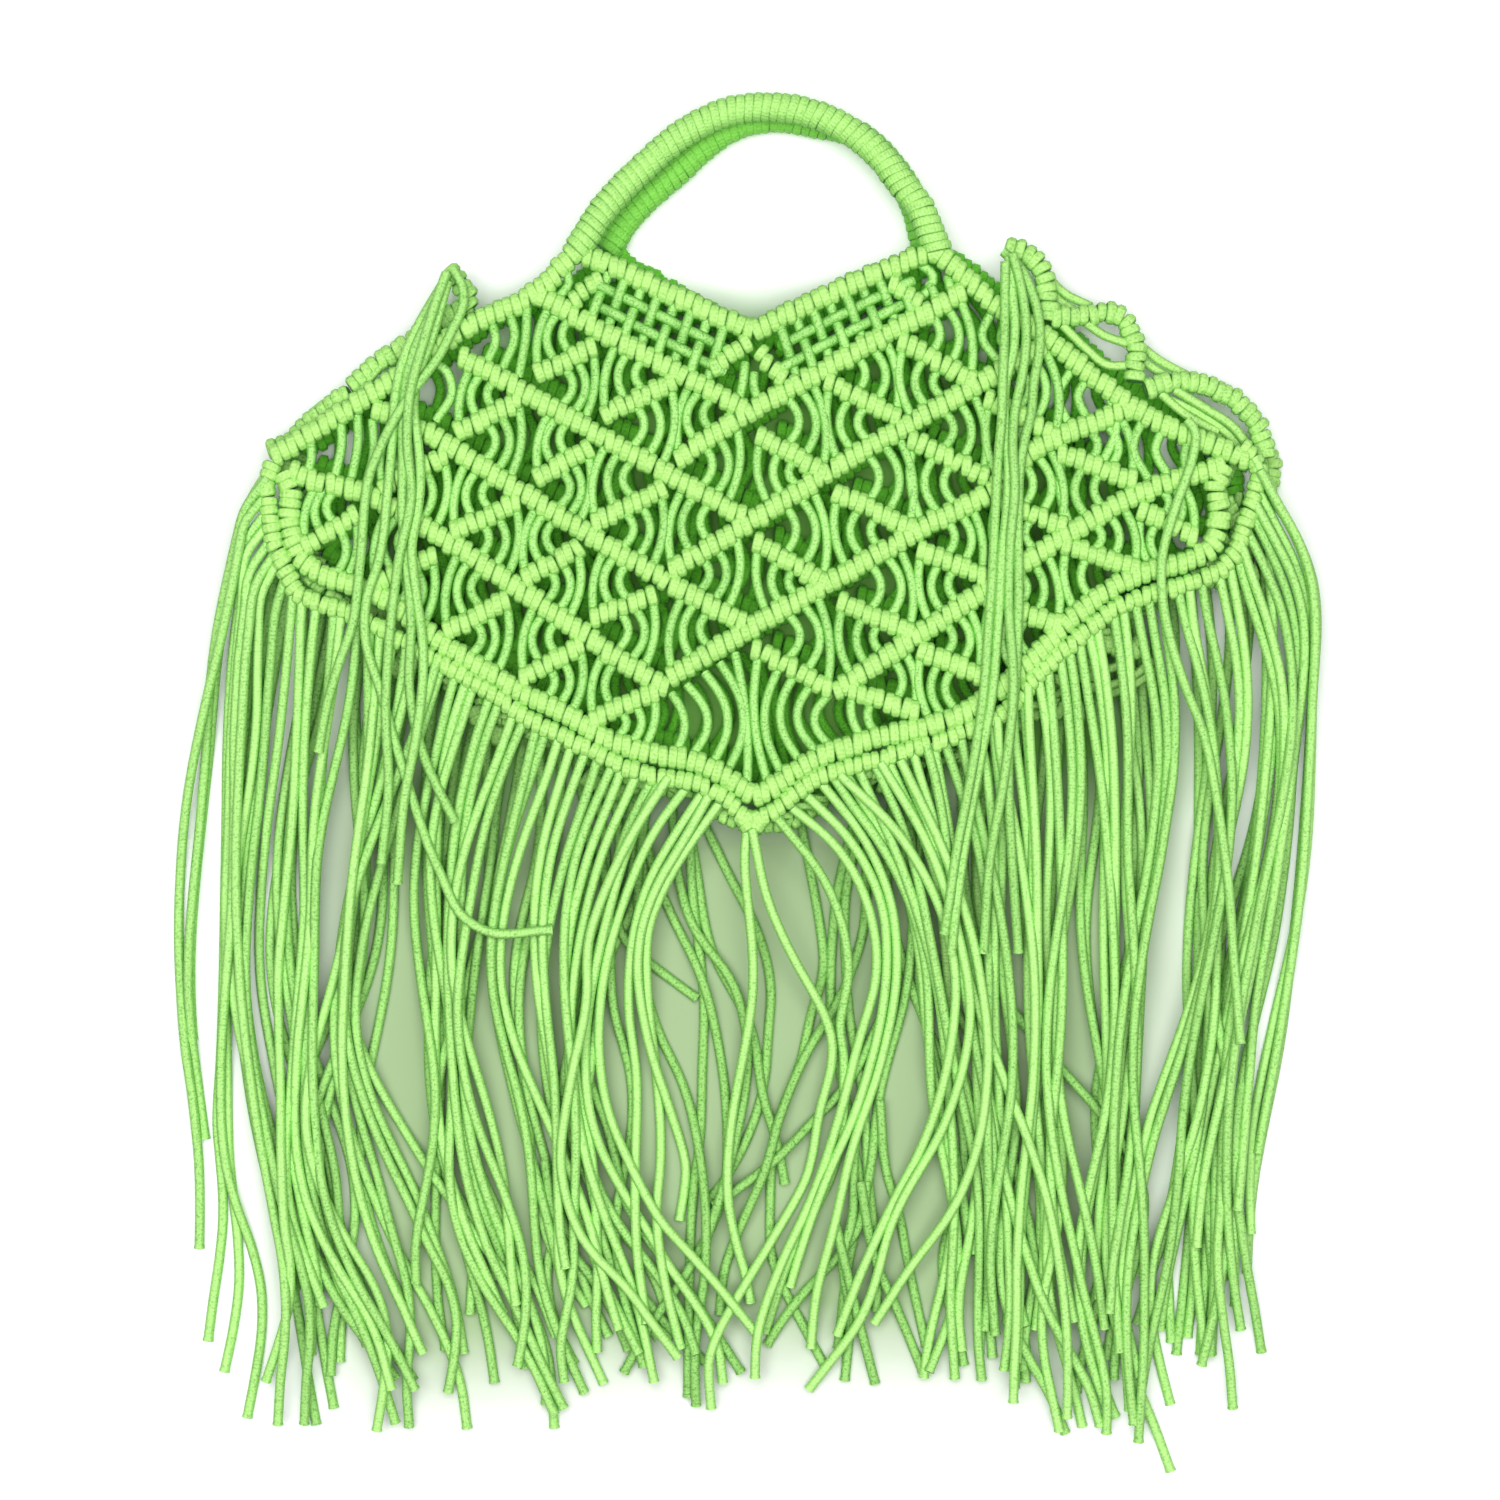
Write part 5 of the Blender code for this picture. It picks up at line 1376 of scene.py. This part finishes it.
class HandbagSizes(bpy.types.PropertyGroup):
    """Sizes of the cord work."""

    hitch_pitch: bpy.props.FloatProperty(
        name="Hitch pitch", description="From one wrap of a rib to the next", default=HITCH_PITCH,
        unit="LENGTH",
    )
    hitch_lean: bpy.props.FloatProperty(
        name="Hitch lean", description="How far wraps turn on a sloping rib", default=HITCH_LEAN,
        subtype="ANGLE",
    )
    tooth_pitch: bpy.props.FloatProperty(
        name="Tooth pitch", description="Along the gusset's zigzag", default=TOOTH_PITCH, unit="LENGTH"
    )
    front_strands: bpy.props.IntProperty(
        name="Front strands", description="Strands of the front fringe", default=96, min=1
    )
    back_strands: bpy.props.IntProperty(
        name="Back strands", description="Strands of the back fringe", default=72, min=1
    )


class HandbagLook(bpy.types.PropertyGroup):
    """Colours and light."""

    # Painted light on the sides that face up
    lit_colour: bpy.props.FloatVectorProperty(
        name="Lit colour", description="The green of sides that light has faded",
        default=(0.53, 0.84, 0.245), size=3, subtype="COLOR",
    )
    # Painted shade on the other sides
    shaded_side_colour: bpy.props.FloatVectorProperty(
        name="Side colour", description="The green of sides that light hasn't faded",
        default=(0.15, 0.58, 0.035), size=3, subtype="COLOR",
    )
    # Painted shade in grooves and between wraps, and the flecks' own green
    deep_colour: bpy.props.FloatVectorProperty(
        name="Deep colour", description="The green of flecks, grooves and seams",
        default=(0.012, 0.18, 0.001), size=3, subtype="COLOR",
    )
    key_power: bpy.props.FloatProperty(
        name="Key power", description="The large light overhead", default=79.0, subtype="POWER"
    )
    fill_power: bpy.props.FloatProperty(
        name="Fill power", description="The light from the right", default=10.0, subtype="POWER"
    )
    world_strength: bpy.props.FloatProperty(
        name="World strength", description="Light from all round", default=0.12, min=0.0
    )


class HANDBAG_OT_nets(bpy.types.Operator):
    """Ties both net panels"""

    bl_idname = "handbag.nets"
    bl_label = "Tie the nets"

    def execute(self, context):
        net("back", on_back, 11)
        net("front", on_front, 21)
        return {"FINISHED"}


class HANDBAG_OT_hems(bpy.types.Operator):
    """Ties the hems that the fringes hang from"""

    bl_idname = "handbag.hems"
    bl_label = "Tie the hems"

    def execute(self, context):
        hem("back", on_back, 31)
        hem("front", on_front, 32)
        return {"FINISHED"}


class HANDBAG_OT_gusset(bpy.types.Operator):
    """Ties the zigzag gusset between the nets"""

    bl_idname = "handbag.gusset"
    bl_label = "Tie the gusset"

    def execute(self, context):
        gusset(41)
        return {"FINISHED"}


class HANDBAG_OT_handles(bpy.types.Operator):
    """Wraps both handles"""

    bl_idname = "handbag.handles"
    bl_label = "Wrap the handles"

    def execute(self, context):
        # The back handle is painted mostly in shade
        handle("back", BACK_HANDLE, BACK_HANDLE_LIT, 51)
        handle("front", FRONT_HANDLE, 1, 52)
        return {"FINISHED"}


class HANDBAG_OT_fringes(bpy.types.Operator):
    """Lays both fringes, strand by strand"""

    bl_idname = "handbag.fringes"
    bl_label = "Lay the fringes"

    def execute(self, context):
        fringe("back", on_back, 61)
        fringe("front", on_front, 62)
        return {"FINISHED"}


class HANDBAG_OT_tassels(bpy.types.Operator):
    """Lays the strands from the ears over the front"""

    bl_idname = "handbag.tassels"
    bl_label = "Lay the tassels"

    def execute(self, context):
        tassel("left", LEFT_TASSEL, 71)
        tassel("right", RIGHT_TASSEL + [DRAPED_STRAND], 72)
        return {"FINISHED"}


class HANDBAG_OT_stage(bpy.types.Operator):
    """Sets the floor, the lights and the camera"""

    bl_idname = "handbag.stage"
    bl_label = "Set the stage"

    def execute(self, context):
        stage()
        return {"FINISHED"}


OPERATORS = (
    HANDBAG_OT_stage, HANDBAG_OT_nets, HANDBAG_OT_hems, HANDBAG_OT_gusset, HANDBAG_OT_handles,
    HANDBAG_OT_fringes, HANDBAG_OT_tassels,
)


class HANDBAG_PT_panel(bpy.types.Panel):
    """Lists the steps and their sizes"""

    bl_idname = "HANDBAG_PT_panel"
    bl_label = "Knotted cord handbag"
    bl_space_type = "VIEW_3D"
    bl_region_type = "UI"
    bl_category = "Handbag"

    def draw(self, context):
        for group in (context.scene.handbag_sizes, context.scene.handbag_look):
            for name in group.bl_rna.properties.keys():
                if name not in ("rna_type", "name"):
                    self.layout.prop(group, name)
        for operator in OPERATORS:
            self.layout.operator(operator.bl_idname)


CLASSES = (HandbagSizes, HandbagLook, *OPERATORS, HANDBAG_PT_panel)


def register():
    for item in CLASSES:
        bpy.utils.register_class(item)
    bpy.types.Scene.handbag_sizes = bpy.props.PointerProperty(type=HandbagSizes)
    bpy.types.Scene.handbag_look = bpy.props.PointerProperty(type=HandbagLook)


def unregister():
    del bpy.types.Scene.handbag_look
    del bpy.types.Scene.handbag_sizes
    for item in reversed(CLASSES):
        bpy.utils.unregister_class(item)


def main():
    """Takes every step in order. Fringes come first, because the nets lie over their upper ends."""
    register()
    bpy.ops.handbag.fringes()
    bpy.ops.handbag.nets()
    bpy.ops.handbag.hems()
    bpy.ops.handbag.gusset()
    bpy.ops.handbag.handles()
    bpy.ops.handbag.tassels()
    bpy.ops.handbag.stage()


if __name__ == "__main__":
    main()
